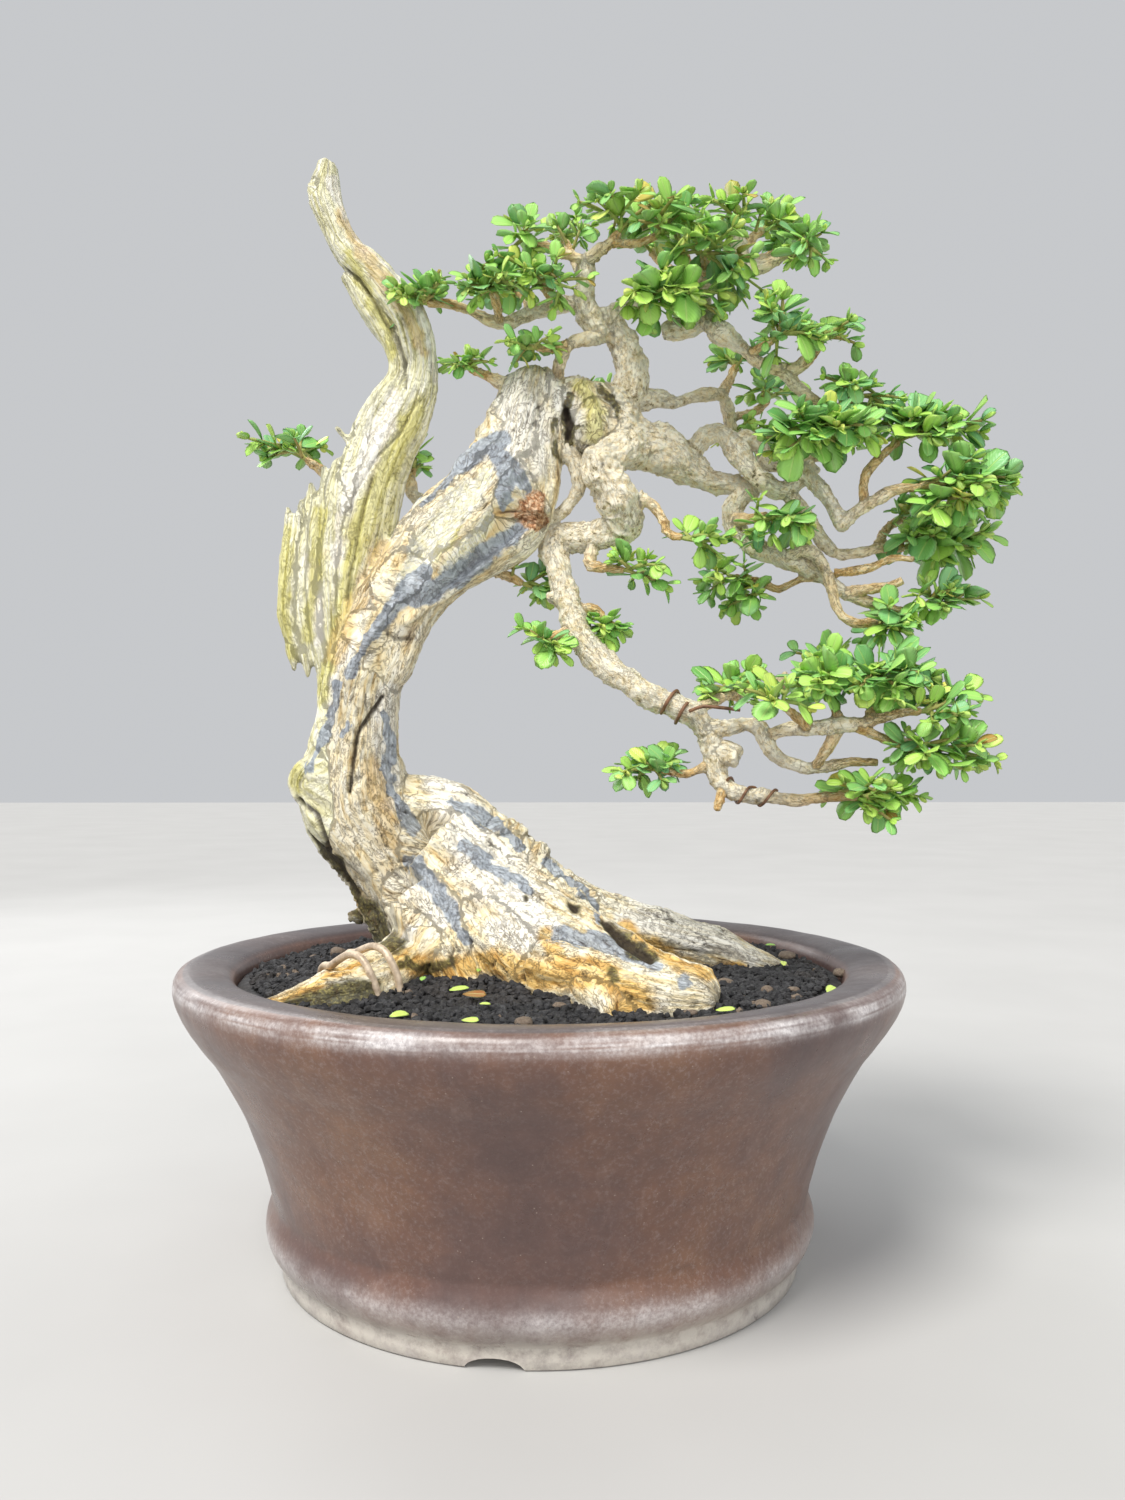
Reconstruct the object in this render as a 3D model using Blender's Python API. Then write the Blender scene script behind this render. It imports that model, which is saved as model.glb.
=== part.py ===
"""Premna bonsai in a round unglazed pot: pot, drain mesh, soil, wood, wires and leafy sprays.

Blender 4.5, metres, +Z up. The model is drawn round the pot's axis and moved at the end, so that the
origin is the middle of its base, on the surface that the pot stands on. Its front faces -Y.
"""

import math
import random

import bmesh
import bpy
import numpy as np
from mathutils import Matrix, Vector
from mathutils.bvhtree import BVHTree

MM = 0.001

# Driving dimensions of the pot.
RIM_RADIUS = 0.151
POT_HEIGHT = 0.124
POT_SEGMENTS = 30
DRAIN_RADIUS = 0.015
FLOOR_TOP = 0.016
FOOT_NOTCHES = 3
FOOT_NOTCH_WIDTH = 0.021
FOOT_NOTCH_HEIGHT = 0.0045
FOOT_NOTCH_DEPTH = 0.030
FOOT_NOTCH_PLACE = 0.104
FIRST_NOTCH_ANGLE = math.radians(-98.5)

# Gap between pieces that touch.
GAP = 0.0003

# Soil: height at the wall, the mound's height, place and spread, and its waviness.
SOIL_EDGE = 0.1172
SOIL_MOUND = 0.005
MOUND_PLACE = (-0.020, 0.0)
MOUND_SPREAD = 0.075
SOIL_WAVE = 0.0007
SOIL_RINGS = (0.045, 0.085, 0.112)
SOIL_ROUNDING = 0.001

# Room left in the soil round the wood and the wires, up to a height above the soil.
WOOD_ROOM = (1.3 * GAP, 3 * GAP)
WIRE_ROOM = 1.6 * GAP
ROOM_TOP = 0.150

# Drain mesh and wires. Stations count along the smoothed routes, and turns are in degrees.
MESH_SIDE = 0.040
MESH_THICKNESS = 0.001
MESH_HOLE = 0.013
MESH_PITCH = 0.017
ROOT_WIRE_RADIUS = 0.0015
BRANCH_WIRE_RADIUS = 0.0007
WIRE_SPLAY = 0.003
WIRE_DEPTH = 0.006
ROOT_WIRE_STATIONS = (7, 5)
ROOT_WIRE_TURN = range(-90, 91, 18)
ROOT_WIRE_ADVANCE = 0.002
BRANCH_WIRE_STATIONS = (-12, -9)
BRANCH_WIRE_TURN = range(-150, 330, 24)
BRANCH_WIRE_ADVANCE = 0.009

# Wood. The voxel and the triangles set how finely the skin of its thick parts is drawn.
WOOD_VOXEL = 0.0010
WOOD_TRIANGLES = 2500
WOOD_FOOT = 0.104
CURVE_STEPS = 5
FLUTE_TWIST = 60.0
FLUTE_PHASE = 0.7

# Leaves and shoots.
LEAF_THICKNESS = 0.0007
LEAF_LENGTH = (0.0105, 0.0140)
LEAF_WIDTH_SHARE = (0.58, 0.70)
LEAF_FOLD = 0.16
LEAF_DROOP = 0.09
SHOOT_RADIUS = 0.0012
TIP_RADIUS = 0.0009
SHOOT_START = 0.0022
NODE_HEIGHT = 0.0010
LEAN = 9.0
SECOND_PAIR = 0.75
SEED = 8

# The routes below are drawn on the front view, as seen from this point, in millimetres.
# Each point is (across, up, depth, radius): across and up are where it shows on the upright
# plane through the pot's axis, and depth is how far behind that plane it really lies.
EYE = Vector((0.0, -0.517, 0.206))

TRUNK = {
    "core": [(-44, 106, 10, 20), (-49, 129, 12, 20), (-56, 150, 12, 21.5), (-62.5, 166, 12, 22.5),
             (-71, 178, 10, 23.5), (-79, 190, 8, 24), (-80.5, 205, 5, 21.5), (-79, 222, 1, 18),
             (-76, 242, -2, 16.5), (-69, 262, -3, 16.5), (-57, 282, -4, 17.5), (-41, 301, -4, 20.5),
             (-23, 318, -3, 21), (-11, 337, 0, 19), (-6, 354, 2, 17), (-4, 364, 3, 14)],
    "burl": [(-4, 356, 4, 13), (14, 357, 6, 16), (27, 352, 7, 15), (43, 346, 8, 11),
             (54, 342, 9, 9.5), (63, 334, 10, 8), (72, 329, 9, 5), (86, 327, 6, 4), (91, 324, 4, 4)],
    "bark_strip": [(4, 366, 0, 9), (1, 345, -4, 8.5), (0, 322, -6, 7.5), (-7, 303, -8, 6.5),
                   (-21, 293, -9, 5.5), (-37, 284, -10, 5), (-47, 276, -10, 5.5),
                   (-56, 262, -9, 6.5), (-63, 246, -8, 7)],
    "shoulder": [(-20, 352, 2, 8), (-19, 340, 0, 9), (-30, 325, -2, 9), (-44, 308, -3, 9),
                 (-57, 288, -3, 8)],
}

ROOTS = {
    "right_root": [(-61, 189, 10, 13), (-40, 185, 9, 13), (-24, 173, 8, 13), (-1, 152, 6, 14),
                   (24, 139, 4, 13.5), (51, 132, 4, 11.5), (73, 127, 5, 9.5), (90, 121, 7, 7),
                   (105, 117, 9, 3.5)],
    "middle_root": [(-43, 169, -2, 20), (-22, 150, -12, 20), (2, 135, -28, 18), (25, 124, -48, 15.5),
                    (45, 113, -66, 13.5), (66, 108, -78, 11.5)],
    "apron": [(-48, 148, -8, 20), (-38, 128, -20, 20), (-30, 112, -30, 17), (-22, 98, -36, 14)],
    "heel": [(-42, 126, 2, 16), (-33, 114, 0, 17), (-26, 100, 0, 16)],
    "apron_right": [(-20, 137, -22, 18), (-4, 118, -38, 17), (6, 104, -46, 13)],
    "left_root": [(-48, 134, -8, 11), (-63, 124, -26, 8), (-82, 115.5, -42, 7.4), (-98, 108, -54, 6),
                  (-111, 104, -62, 4), (-117, 103, -65, 2.6)],
    "back_left_root": [(-54, 142, 26, 15), (-58, 136, 44, 11), (-62, 131, 62, 7), (-64, 127, 76, 4)],
    "back_middle_root": [(-46, 150, 25, 18), (-36, 140, 50, 12), (-26, 131, 72, 8), (-20, 128, 84, 4)],
    "back_right_root": [(-20, 148, 22, 14), (5, 140, 42, 11), (30, 133, 60, 8), (48, 128, 74, 5)],
}

KNOTS = {
    "ridge_nub_a": [(-16, 174, 6, 4), (-11, 182, 7, 4.4)],
    "ridge_nub_b": [(-8, 165, 5, 4), (-3, 172, 6, 4.2)],
    "ridge_nub_c": [(-3, 160, 4, 4), (2, 166, 5, 3.6)],
    "pruned_stub": [(14, 146, -4, 7), (13, 146, -13, 6.6)],
    "small_knot": [(-7, 151, -6, 4), (-7, 151, -13, 3)],
    "back_nub": [(-76, 141, 14, 4), (-80, 141, 14, 3)],
    "callus": [(-9, 322, -8, 8), (-2, 316, -12, 6)],
    "lower_nub": [(10, 278, -9, 4), (5, 278, -9, 3.2)],
}

DEADWOOD = {
    "jin": [(-82, 250, 4, 8), (-82, 277, 5, 11), (-77, 300, 5, 13), (-72.5, 322, 4, 12.5),
            (-66, 341, 3, 11.5), (-58.5, 354, 2.5, 10.5), (-54, 365, 2, 9.2), (-51.8, 375, 2, 8),
            (-52.5, 385, 2, 8), (-57, 398.5, 3, 8), (-67, 412, 4, 8.1), (-76, 421, 5, 7.5),
            (-84, 429.5, 6, 6.9), (-89.5, 441, 6, 6.4), (-93, 451, 6, 7), (-92.7, 458, 6, 5.8),
            (-92.3, 463, 6, 4.6)],
    "jin_ridge": [(-84.5, 418, 5, 2.6), (-77, 408.7, 5, 4.8), (-69.5, 397, 4, 5),
                  (-64, 386, 4, 3.6), (-62, 375, 3, 4), (-66, 366, 2, 5.5), (-71, 357, 2, 7),
                  (-75, 345, 2, 8), (-79, 328, 3, 10)],
    "jin_spur": [(-92, 452, 6, 4), (-98, 454.5, 5, 3)],
    "plate_right": [(-84.5, 337, 3, 5), (-86, 322, 3, 8.5), (-88, 300, 4, 9.5), (-88, 275, 4, 9),
                    (-87, 252, 4, 7.5), (-86, 234, 3, 6)],
    "plate_middle": [(-94, 320, 3, 4), (-95, 305, 4, 7), (-95, 285, 5, 8), (-94, 264, 5, 7),
                     (-91, 246, 4, 5.5), (-91, 231, 3, 5), (-88, 216, 2, 5)],
    "plate_left": [(-105, 313, 4, 3.5), (-106, 300, 5, 5.5), (-107, 284, 5, 6), (-108, 270, 5, 4.5),
                   (-106, 259, 5, 3.5), (-103, 252, 5, 2)],
    "plate_link": [(-94, 296, 4, 6), (-104, 290, 5, 5)],
    "ear": [(-94, 208, 4, 6), (-102, 203, 2, 5), (-103.5, 196, 2, 5), (-96, 189, 4, 6)],
    "dead_twig": [(-76, 336, 4, 2.4), (-84, 346, 2, 1.8), (-88, 351, 0, 1.5)],
}

LIMBS = {
    "leader": [(30, 352, 8, 9), (35.5, 363, 9, 7.6), (38.5, 376, 9, 6.7), (36, 386, 8, 6.3),
               (31, 395.5, 6, 5.8), (28.5, 404, 4, 5.3)],
    "leader_left": [(28, 391, 6, 5.5), (22, 398.5, 4, 5.6), (18.5, 407, 1, 4.6),
                    (19.4, 416.5, -3, 3.9), (19, 424.5, -6, 3.2)],
    "left_arm": [(21, 406, 2, 3.8), (8, 405, 3, 3.2), (-4, 401.5, 3, 3), (-14, 397, 2, 2.8),
                 (-22, 398, 0, 2.6), (-30, 402, -2, 2.2), (-40, 405, -3, 1.9), (-49, 405, -4, 1.6)],
    "apex_right": [(30, 400, 5, 4.5), (43, 409, 8, 3.8), (58, 414, 10, 3.6), (73, 417, 8, 3.6),
                   (86, 420, 5, 4.2), (86, 430, 2, 3.4), (85, 439, -2, 2.2)],
    "stubby_arm": [(88, 421, 4, 3.6), (98, 423, 0, 2.6), (107, 428, -4, 2.4), (114, 432, -7, 1.8)],
    "hanging_right": [(73, 417, 8, 2.8), (71, 407, 2, 2.8), (73, 399, -4, 3), (79, 392, -7, 5.5),
                      (87, 386.5, -8, 3), (94, 380.5, -9, 2.7), (103, 377.5, -10, 2.6),
                      (110, 377.5, -10, 2.6), (117, 383, -11, 2), (122, 389, -12, 1.7)],
    "cut_stub": [(72, 400, -3, 3), (65, 395.5, -4, 4.4), (57, 394, -4, 4.2), (53, 393, -4, 3)],
    "rough_arm": [(105, 377.5, -10, 2.8), (112, 369, -8, 2.8), (120, 363.5, -6, 2.4),
                  (129, 361, -4, 2.1), (135, 365, -6, 1.8)],
    "arch": [(28, 390, 6, 3), (20, 390, -2, 2.8), (13, 388, -5, 2.7), (9, 382, -4, 2.6),
             (7.5, 374, 2, 2.5), (8, 366, 6, 3)],
    "back_arm": [(40, 362, 10, 4.6), (51, 364.5, 13, 4), (59, 363, 17, 3), (69, 366, 22, 2.6),
                 (78, 366, 28, 2.6), (81, 360, 32, 2.6), (83, 352, 36, 2.4), (88, 347, 38, 1.9)],
    "rear_branch": [(24, 352, 18, 6), (30, 350, 36, 4.6), (30, 355, 52, 3.4), (22, 361, 66, 2.4)],
    "right_arch": [(63, 338, 9, 4.6), (69, 346, 9, 4.2), (76, 350, 7, 4.2), (82, 346, 3, 4.2),
                   (86, 340, -1, 4.6), (91, 334, -4, 4.8), (97, 328, -6, 4.8), (105, 325, -7, 4.3),
                   (112, 329, -8, 3.8), (119, 336, -9, 3.4)],
    "knob_arm": [(84, 345, 2, 3.6), (90, 347, 3, 3.6), (96, 343, 3, 3.4), (98, 337, 3, 3.2),
                 (106, 336.5, 4, 3), (113, 338, 5, 2.6), (121, 340, 6, 2.4), (131, 344, 4, 2.2),
                 (140, 350, 2, 1.8)],
    "white_elbow": [(110, 335, -9, 3.6), (118, 329, -12, 3.5), (125, 321, -14, 3.3),
                    (130, 312, -16, 3.2), (131, 310, -17, 3), (137, 316, -19, 2.8),
                    (146, 321, -21, 2.6), (153, 325, -22, 2.4), (164, 326.5, -23, 2),
                    (176, 329, -24, 1.6)],
    "elbow_twig": [(140, 318, -20, 2.2), (140.5, 330, -18, 2), (146, 338, -14, 1.9),
                   (155, 346, -10, 1.7)],
    "long_arm": [(107, 324, -7, 3.6), (112, 318, -6, 3.3), (118, 309, -4, 3.1), (124, 301, -2, 2.9),
                 (129, 297, -1, 2.8), (138, 298, 0, 2.6), (148, 300, 2, 2.2), (157, 300, 4, 1.8)],
    "grey_arm": [(90, 325, 4, 3.8), (84, 318, 6, 3.9), (83, 311.5, 7, 4), (88, 304, 6, 4.3),
                 (97, 298, 4, 4.6), (107, 294, 2, 4.2), (116, 290, 0, 3.6), (124, 286, -2, 3.3),
                 (130, 281, -3, 3), (138, 277.5, -4, 2.6), (147, 275.5, -5, 2.2),
                 (157, 273, -6, 1.9), (167, 274, -7, 1.6)],
    "grey_loop": [(108, 296, 0, 2.8), (114, 299, -4, 2.7), (120, 296, -7, 2.7), (124, 289, -9, 2.6),
                  (126, 282, -10, 2.5), (128, 275, -11, 2.4), (131, 270, -12, 2.3),
                  (137, 267, -13, 2.1), (146, 268.5, -14, 1.8)],
    "grey_left": [(120, 287.5, -2, 2.2), (112, 286, 4, 2), (103, 282, 9, 1.9), (95, 285, 13, 1.8),
                  (84, 286.5, 16, 1.6)],
    "grey_stub": [(130, 280, -3, 2.6), (142, 282, -8, 2.2), (152, 284, -12, 2.2), (157, 286, -14, 2.2)],
    "grey_twig": [(127, 289, -5, 2), (142, 291, -9, 1.8), (152, 295, -12, 1.7), (162, 295, -14, 1.6)],
    "grey_nub": [(84, 312, 3, 2.6), (92, 312.5, -4, 2.1), (98, 314, -9, 1.8)],
    "low_branch": [(43, 346, 6, 9), (32, 340, -6, 8.8), (26, 337, -10, 8.8), (28, 330, -12, 9),
                   (33, 322, -11, 8.6), (36, 314, -8, 8.2), (32, 308, -5, 7.4), (23, 304.5, -2, 6.6),
                   (13, 304, 0, 6.2), (6, 303, -1, 6.2), (6, 296, -4, 6), (9, 285, -8, 5.7),
                   (12.5, 272, -13, 5.6), (20, 257, -20, 5.6), (31, 246, -26, 5.6),
                   (44, 236, -31, 5.4), (56, 231, -35, 5.2), (66, 227, -37, 5.2), (71, 220, -37, 5.2)],
    "ring": [(10, 342, -2, 4), (15, 335, -3, 3.2), (16, 326, -3, 2.9), (12, 318, -3, 2.9),
             (4, 312, -4, 3), (-4, 312, -5, 4)],
    "low_swan": [(70, 222, -37, 4.2), (79, 222, -39, 3.8), (88, 223, -41, 3.6), (94, 221.5, -42, 3.6),
                 (97, 216, -43, 3.6), (101, 210, -43, 3.4), (111, 205.5, -42, 3.2),
                 (120, 204.5, -41, 3), (133, 207, -40, 2.4), (146, 207, -40, 1.8)],
    "low_top": [(64, 228, -37, 2.8), (73, 232.5, -33, 2.6), (81, 236, -29, 2.6), (88, 237.5, -26, 2.4),
                (99, 239, -24, 2.4), (107, 244, -23, 2.8)],
    "low_keel": [(71, 221, -37, 5.2), (75, 211, -37, 5), (76, 202, -37, 4.2), (81, 196, -38, 3.6),
                 (89, 192.5, -39, 3.3), (99, 192, -40, 3), (112, 190.5, -41, 2.6),
                 (125, 192, -42, 2.2), (137, 192, -43, 1.7)],
    "low_knuckle": [(75, 212, -37, 5), (85, 209.5, -40, 4.6)],
    "low_brown": [(97, 218, -43, 2.6), (107, 221.5, -46, 3), (118, 222, -48, 3.2), (129, 223, -49, 3.4),
                  (142, 224.5, -50, 2.6), (155, 228, -51, 2.2), (165, 229, -52, 1.7)],
    "low_bridge": [(129, 222, -48, 2.6), (124, 213, -45, 2.4), (119, 206, -43, 2.4)],
    "low_spur": [(138, 222, -50, 2.2), (150, 217, -50, 2), (161, 215.5, -50, 1.7)],
    "low_left": [(74, 206, -37, 2.6), (62, 202, -36, 2), (52, 203.5, -35, 1.6)],
}

# Twigs, each ending where a leafy spray begins.
TWIGS = {
    "crown_a": [(19, 424, -6, 2.6), (8, 428, -9, 2.2), (-1, 431, -12, 1.9), (-7, 433, -14, 1.6)],
    "crown_c": [(18, 419, -4, 2.8), (14, 426, 10, 2), (11, 432, 22, 1.6)],
    "crown_d": [(19, 424, -6, 2.8), (26, 429, -10, 2.5), (31, 433, -13, 2.2), (34, 437, -15, 1.7)],
    "crown_e": [(30, 432, -12, 2), (42, 432, -20, 1.8), (50, 435, -25, 1.6)],
    "crown_f": [(58, 414, 10, 2.6), (54, 422, 24, 2.1), (48, 428, 35, 1.6)],
    "crown_g": [(66, 416, 9, 2.6), (63, 424, 2, 2.2), (60, 431, -3, 1.7)],
    "crown_h": [(86, 429, 2, 2.4), (92, 435, 6, 2), (96, 438, 9, 1.6)],
    "crown_j": [(57, 414, 10, 2.6), (54, 411, -4, 2), (49, 412, -15, 1.6)],
    "crown_l": [(74, 417, 8, 2.6), (73, 425, 22, 2), (72, 431, 32, 1.6)],
    "crown_m": [(74, 417, 7, 2.6), (72, 421, -10, 2.1), (70, 427, -22, 1.6)],
    "crown_n": [(90, 421, 4, 2.8), (98, 426, 16, 2.1), (105, 429, 27, 1.6)],
    "left_a": [(-18, 397, 1, 2.4), (-19, 404, -8, 2), (-21, 410, -14, 1.6)],
    "left_b": [(-4, 401, 3, 2.4), (-6, 407, 12, 2), (-10, 411, 20, 1.6)],
    "left_c": [(8, 405, 3, 2.4), (4, 410, -8, 2), (0, 414, -16, 1.6)],
    "arch_leaf": [(12, 388, -5, 2.2), (4, 386, -11, 1.8), (-2, 386, -15, 1.6)],
    "knob_twig": [(-14, 370, 2, 3), (-24, 374, 0, 2), (-31, 377, -3, 1.6)],
    "hanging_a": [(90, 384, -8, 2.2), (97, 388, -16, 1.9), (101, 390, -20, 1.6)],
    "knob_front": [(131, 344, 4, 2.2), (126, 350, -10, 1.9), (120, 352, -20, 1.6)],
    "long_back": [(146, 300, 2, 2.2), (150, 308, 13, 1.9), (157, 313, 21, 1.6)],
    "low_a": [(129, 224, -49, 2.4), (127, 233, -44, 2), (125, 240, -38, 1.6)],
    "low_b": [(142, 225, -50, 2.4), (144, 235, -44, 2), (147, 243, -37, 1.6)],
    "low_d": [(116, 222, -48, 2.4), (110, 227, -57, 2), (105, 231, -63, 1.6)],
    "low_f": [(97, 239, -24, 2.2), (109, 241, -12, 1.9), (118, 243, -3, 1.6)],
    "low_i": [(84, 235, -29, 2.4), (81, 237, -24, 2), (80, 238, -20, 1.6)],
    "low_h": [(79, 198, -38, 2.4), (77, 190, -40, 1.8), (76, 186, -41, 1.5)],
    "back_a": [(78, 366, 28, 2.4), (82, 373, 36, 2), (84, 378, 42, 1.6)],
    "back_b": [(82, 356, 34, 2.2), (93, 359, 44, 1.8), (98, 364, 49, 1.6)],
    "small_a": [(42, 322, -10, 3), (49, 317, -11, 2.3), (53, 311, -13, 2.1), (55, 306, -14, 2),
                (61, 304, -15, 1.6)],
    "small_b": [(23, 302, -4, 3), (21, 293, -7, 2.4), (26, 291, -9, 2), (36, 290, -12, 1.6)],
    "small_c": [(-27, 292, 0, 3), (-14, 287, 2, 2.2), (-8, 284, 4, 1.6)],
    "small_d": [(12, 273, -12, 3), (23, 273, -12, 1.9), (27, 269, -12, 1.6)],
    "small_e": [(15, 265, -16, 3), (8, 262, -20, 2), (4, 260, -22, 1.6)],
    "far_left": [(-84, 324, 8, 3), (-95, 333, 10, 2), (-101, 337, 10, 1.6)],
    "between": [(-38, 313, 8, 4), (-54, 321, 18, 2.8), (-56, 328, 24, 2), (-55, 333, 28, 1.6)],
}

# Leafy sprays: the wood that carries each one, and where its shoots' tips show on the view.
SPRAYS = {
    "crown_a": [(-11, 435, -18), (-3, 438, -7)],
    "crown_c": [(4, 438, 30), (15, 442, 34)],
    "crown_d": [(33, 449, -20), (22, 447, -12), (44, 446, -9)],
    "crown_e": [(51, 447, -33), (62, 441, -30)],
    "crown_f": [(42, 436, 44), (54, 441, 42)],
    "crown_g": [(56, 445, 2), (67, 448, -8)],
    "crown_h": [(101, 447, 14), (108, 440, 6)],
    "crown_j": [(43, 414, -28), (55, 404, -26)],
    "crown_l": [(69, 443, 38), (81, 439, 41)],
    "crown_m": [(66, 435, -34), (79, 431, -31)],
    "crown_n": [(113, 434, 32), (102, 438, 36)],
    "left_a": [(-26, 416, -21), (-14, 415, -24)],
    "left_b": [(-14, 418, 28), (-24, 413, 26), (-3, 419, 24)],
    "left_c": [(-3, 421, -24), (8, 418, -24)],
    "left_arm": [(-56, 409, -6), (-43, 416, 4)],
    "apex_right": [(79, 449, -8), (90, 450, 1)],
    "stubby_arm": [(122, 437, -10), (117, 426, -15)],
    "hanging_right": [(129, 393, -15), (123, 396, -3)],
    "hanging_a": [(107, 395, -27), (113, 398, -32)],
    "arch_leaf": [(-10, 386, -19), (3, 391, -24)],
    "knob_twig": [(-38, 379, -5), (-29, 382, -11)],
    "rough_arm": [(143, 371, -8), (132, 372, -14)],
    "elbow_twig": [(158, 356, -15), (168, 357, -9), (178, 356, -14)],
    "knob_arm": [(145, 358, 8), (137, 358, 14)],
    "knob_front": [(112, 356, -28), (125, 358, -30)],
    "white_elbow": [(185, 335, -27), (193, 329, -23), (182, 322, -33)],
    "long_arm": [(164, 306, 1), (176, 303, 2), (187, 300, -2)],
    "long_back": [(167, 318, 27), (178, 315, 22)],
    "grey_arm": [(176, 277, -7), (184, 280, -11)],
    "grey_loop": [(153, 265, -16), (159, 271, -21)],
    "grey_left": [(79, 290, 20), (86, 280, 24)],
    "grey_nub": [(105, 312, -15), (100, 306, -16)],
    "back_arm": [(94, 344, 43), (85, 352, 47)],
    "back_a": [(79, 384, 46), (91, 384, 48)],
    "back_b": [(105, 368, 54), (96, 372, 58)],
    "rear_branch": [(17, 357, 80), (16, 367, 74), (29, 371, 76), (41, 364, 72)],
    "small_a": [(69, 306, -18), (77, 303, -20)],
    "small_b": [(44, 287, -14), (46, 295, -16)],
    "small_c": [(-3, 286, 8), (2, 282, 12)],
    "small_d": [(29, 266, -14), (27, 260, -20)],
    "small_e": [(-2, 262, -25), (4, 255, -30)],
    "low_a": [(117, 249, -43), (125, 253, -32)],
    "low_b": [(146, 250, -47), (156, 247, -38)],
    "low_d": [(98, 235, -68), (107, 239, -67)],
    "low_f": [(122, 248, 2), (120, 254, 8)],
    "low_i": [(79, 242, -12), (90, 246, -16)],
    "low_brown": [(171, 236, -50), (183, 240, -47), (175, 226, -57)],
    "low_spur": [(171, 215, -49), (182, 210, -51), (172, 205, -55)],
    "low_keel": [(144, 191, -48), (151, 196, -52), (157, 192, -47)],
    "low_left": [(45, 206, -39), (50, 209, -28)],
    "far_left": [(-109, 342, 7), (-119, 344, 5), (-103, 347, 15)],
    "between": [(-53, 342, 33), (-61, 337, 33)],
}


def clear_scene():
    for item in list(bpy.data.objects):
        bpy.data.objects.remove(item, do_unlink=True)


def material(name, colour, roughness, metallic=0.0):
    made = bpy.data.materials.new(name)
    made.use_nodes = True
    shader = made.node_tree.nodes["Principled BSDF"]
    shader.inputs["Base Color"].default_value = (*colour, 1.0)
    shader.inputs["Roughness"].default_value = roughness
    shader.inputs["Metallic"].default_value = metallic
    return made


def add_object(name, points, faces, look=None):
    mesh = bpy.data.meshes.new(name)
    mesh.from_pydata([tuple(p) for p in points], [], [tuple(f) for f in faces])
    mesh.update()
    made = bpy.data.objects.new(name, mesh)
    bpy.context.scene.collection.objects.link(made)
    if look is not None:
        mesh.materials.append(look)
    return made


def apply_modifiers(item):
    bpy.context.view_layer.update()
    graph = bpy.context.evaluated_depsgraph_get()
    mesh = bpy.data.meshes.new_from_object(item.evaluated_get(graph))
    item.modifiers.clear()
    old = item.data
    item.data = mesh
    bpy.data.meshes.remove(old)
    mesh.name = item.name


def boolean(item, cutters, operation, solver="EXACT"):
    """Joins or cuts item by all the cutters at once, applies it and removes them."""
    group = bpy.data.collections.new(item.name + "_cutters")
    bpy.context.scene.collection.children.link(group)
    for cutter in cutters:
        for owner in list(cutter.users_collection):
            owner.objects.unlink(cutter)
        group.objects.link(cutter)
    step = item.modifiers.new(operation.lower(), "BOOLEAN")
    step.operation = operation
    step.solver = solver
    step.operand_type = "COLLECTION"
    step.collection = group
    apply_modifiers(item)
    for cutter in cutters:
        bpy.data.objects.remove(cutter, do_unlink=True)
    bpy.data.collections.remove(group)


def on_view(across, up, depth):
    """The real place of a point drawn on the front view, pushed back along the line of sight."""
    drawn = Vector((across * MM, 0.0, up * MM))
    reach = 1.0 + depth * MM / -EYE.y
    return EYE + (drawn - EYE) * reach


def route(points):
    """Real places and radii of a drawn route."""
    return [(on_view(x, z, d), r * MM * (1.0 + d * MM / -EYE.y)) for x, z, d, r in points]


def smooth(stations, steps):
    """Catmull-Rom curve through the stations, as (place, radius) pairs."""
    places = [np.array([*p, r]) for p, r in stations]
    first = 2 * places[0] - places[1]
    last = 2 * places[-1] - places[-2]
    knots = [first, *places, last]
    made = []
    for i in range(1, len(knots) - 2):
        a, b, c, d = knots[i - 1:i + 3]
        for k in range(steps):
            t = k / steps
            made.append(0.5 * (2 * b + (c - a) * t + (2 * a - 5 * b + 4 * c - d) * t * t
                               + (3 * b - a - 3 * c + d) * t ** 3))
    made.append(places[-1])
    return [(Vector(m[:3]), float(max(m[3], 0.0004))) for m in made]


def frames(line):
    """A direction and two cross directions at each point, turned as little as possible."""
    places = [p for p, _ in line]
    ahead = []
    for i in range(len(places)):
        step = places[min(i + 1, len(places) - 1)] - places[max(i - 1, 0)]
        ahead.append(step.normalized())
    side = ahead[0].orthogonal().normalized()
    made = []
    for i, direction in enumerate(ahead):
        if i:
            side = (side - direction * side.dot(direction)).normalized()
        made.append((direction, side, direction.cross(side)))
    return made


def tube(line, sides, flute=0.0, flutes=5, twist=0.0, first_angle=0.0):
    """Points and faces of a closed tube along (place, radius) pairs, its skin fluted by a cosine."""
    points, faces = [], []
    run = 0.0
    for i, ((place, radius), (_, side, up)) in enumerate(zip(line, frames(line))):
        if i:
            run += (place - line[i - 1][0]).length
        for k in range(sides):
            angle = first_angle + 2 * math.pi * k / sides
            wave = 1 + flute * math.cos(flutes * angle + twist * run)
            points.append(place + (side * math.cos(angle) + up * math.sin(angle)) * radius * wave)
    rings = len(line)
    for i in range(rings - 1):
        for k in range(sides):
            a, b = i * sides + k, i * sides + (k + 1) % sides
            faces.append((a, b, b + sides, a + sides))
    faces.append(tuple(reversed(range(sides))))
    faces.append(tuple(range((rings - 1) * sides, rings * sides)))
    return points, faces


def rounded(line):
    """The same line with a short dome added at its far end."""
    (place, radius), (before, _) = line[-1], line[-2]
    ahead = (place - before).normalized()
    dome = [(place + ahead * radius * math.sin(a), radius * math.cos(a)) for a in (0.5, 1.0, 1.35)]
    return line + dome


def gathered(parts):
    """Several (points, faces) lists as one."""
    points, faces = [], []
    for some_points, some_faces in parts:
        offset = len(points)
        points.extend(some_points)
        faces.extend(tuple(i + offset for i in face) for face in some_faces)
    return points, faces


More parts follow.
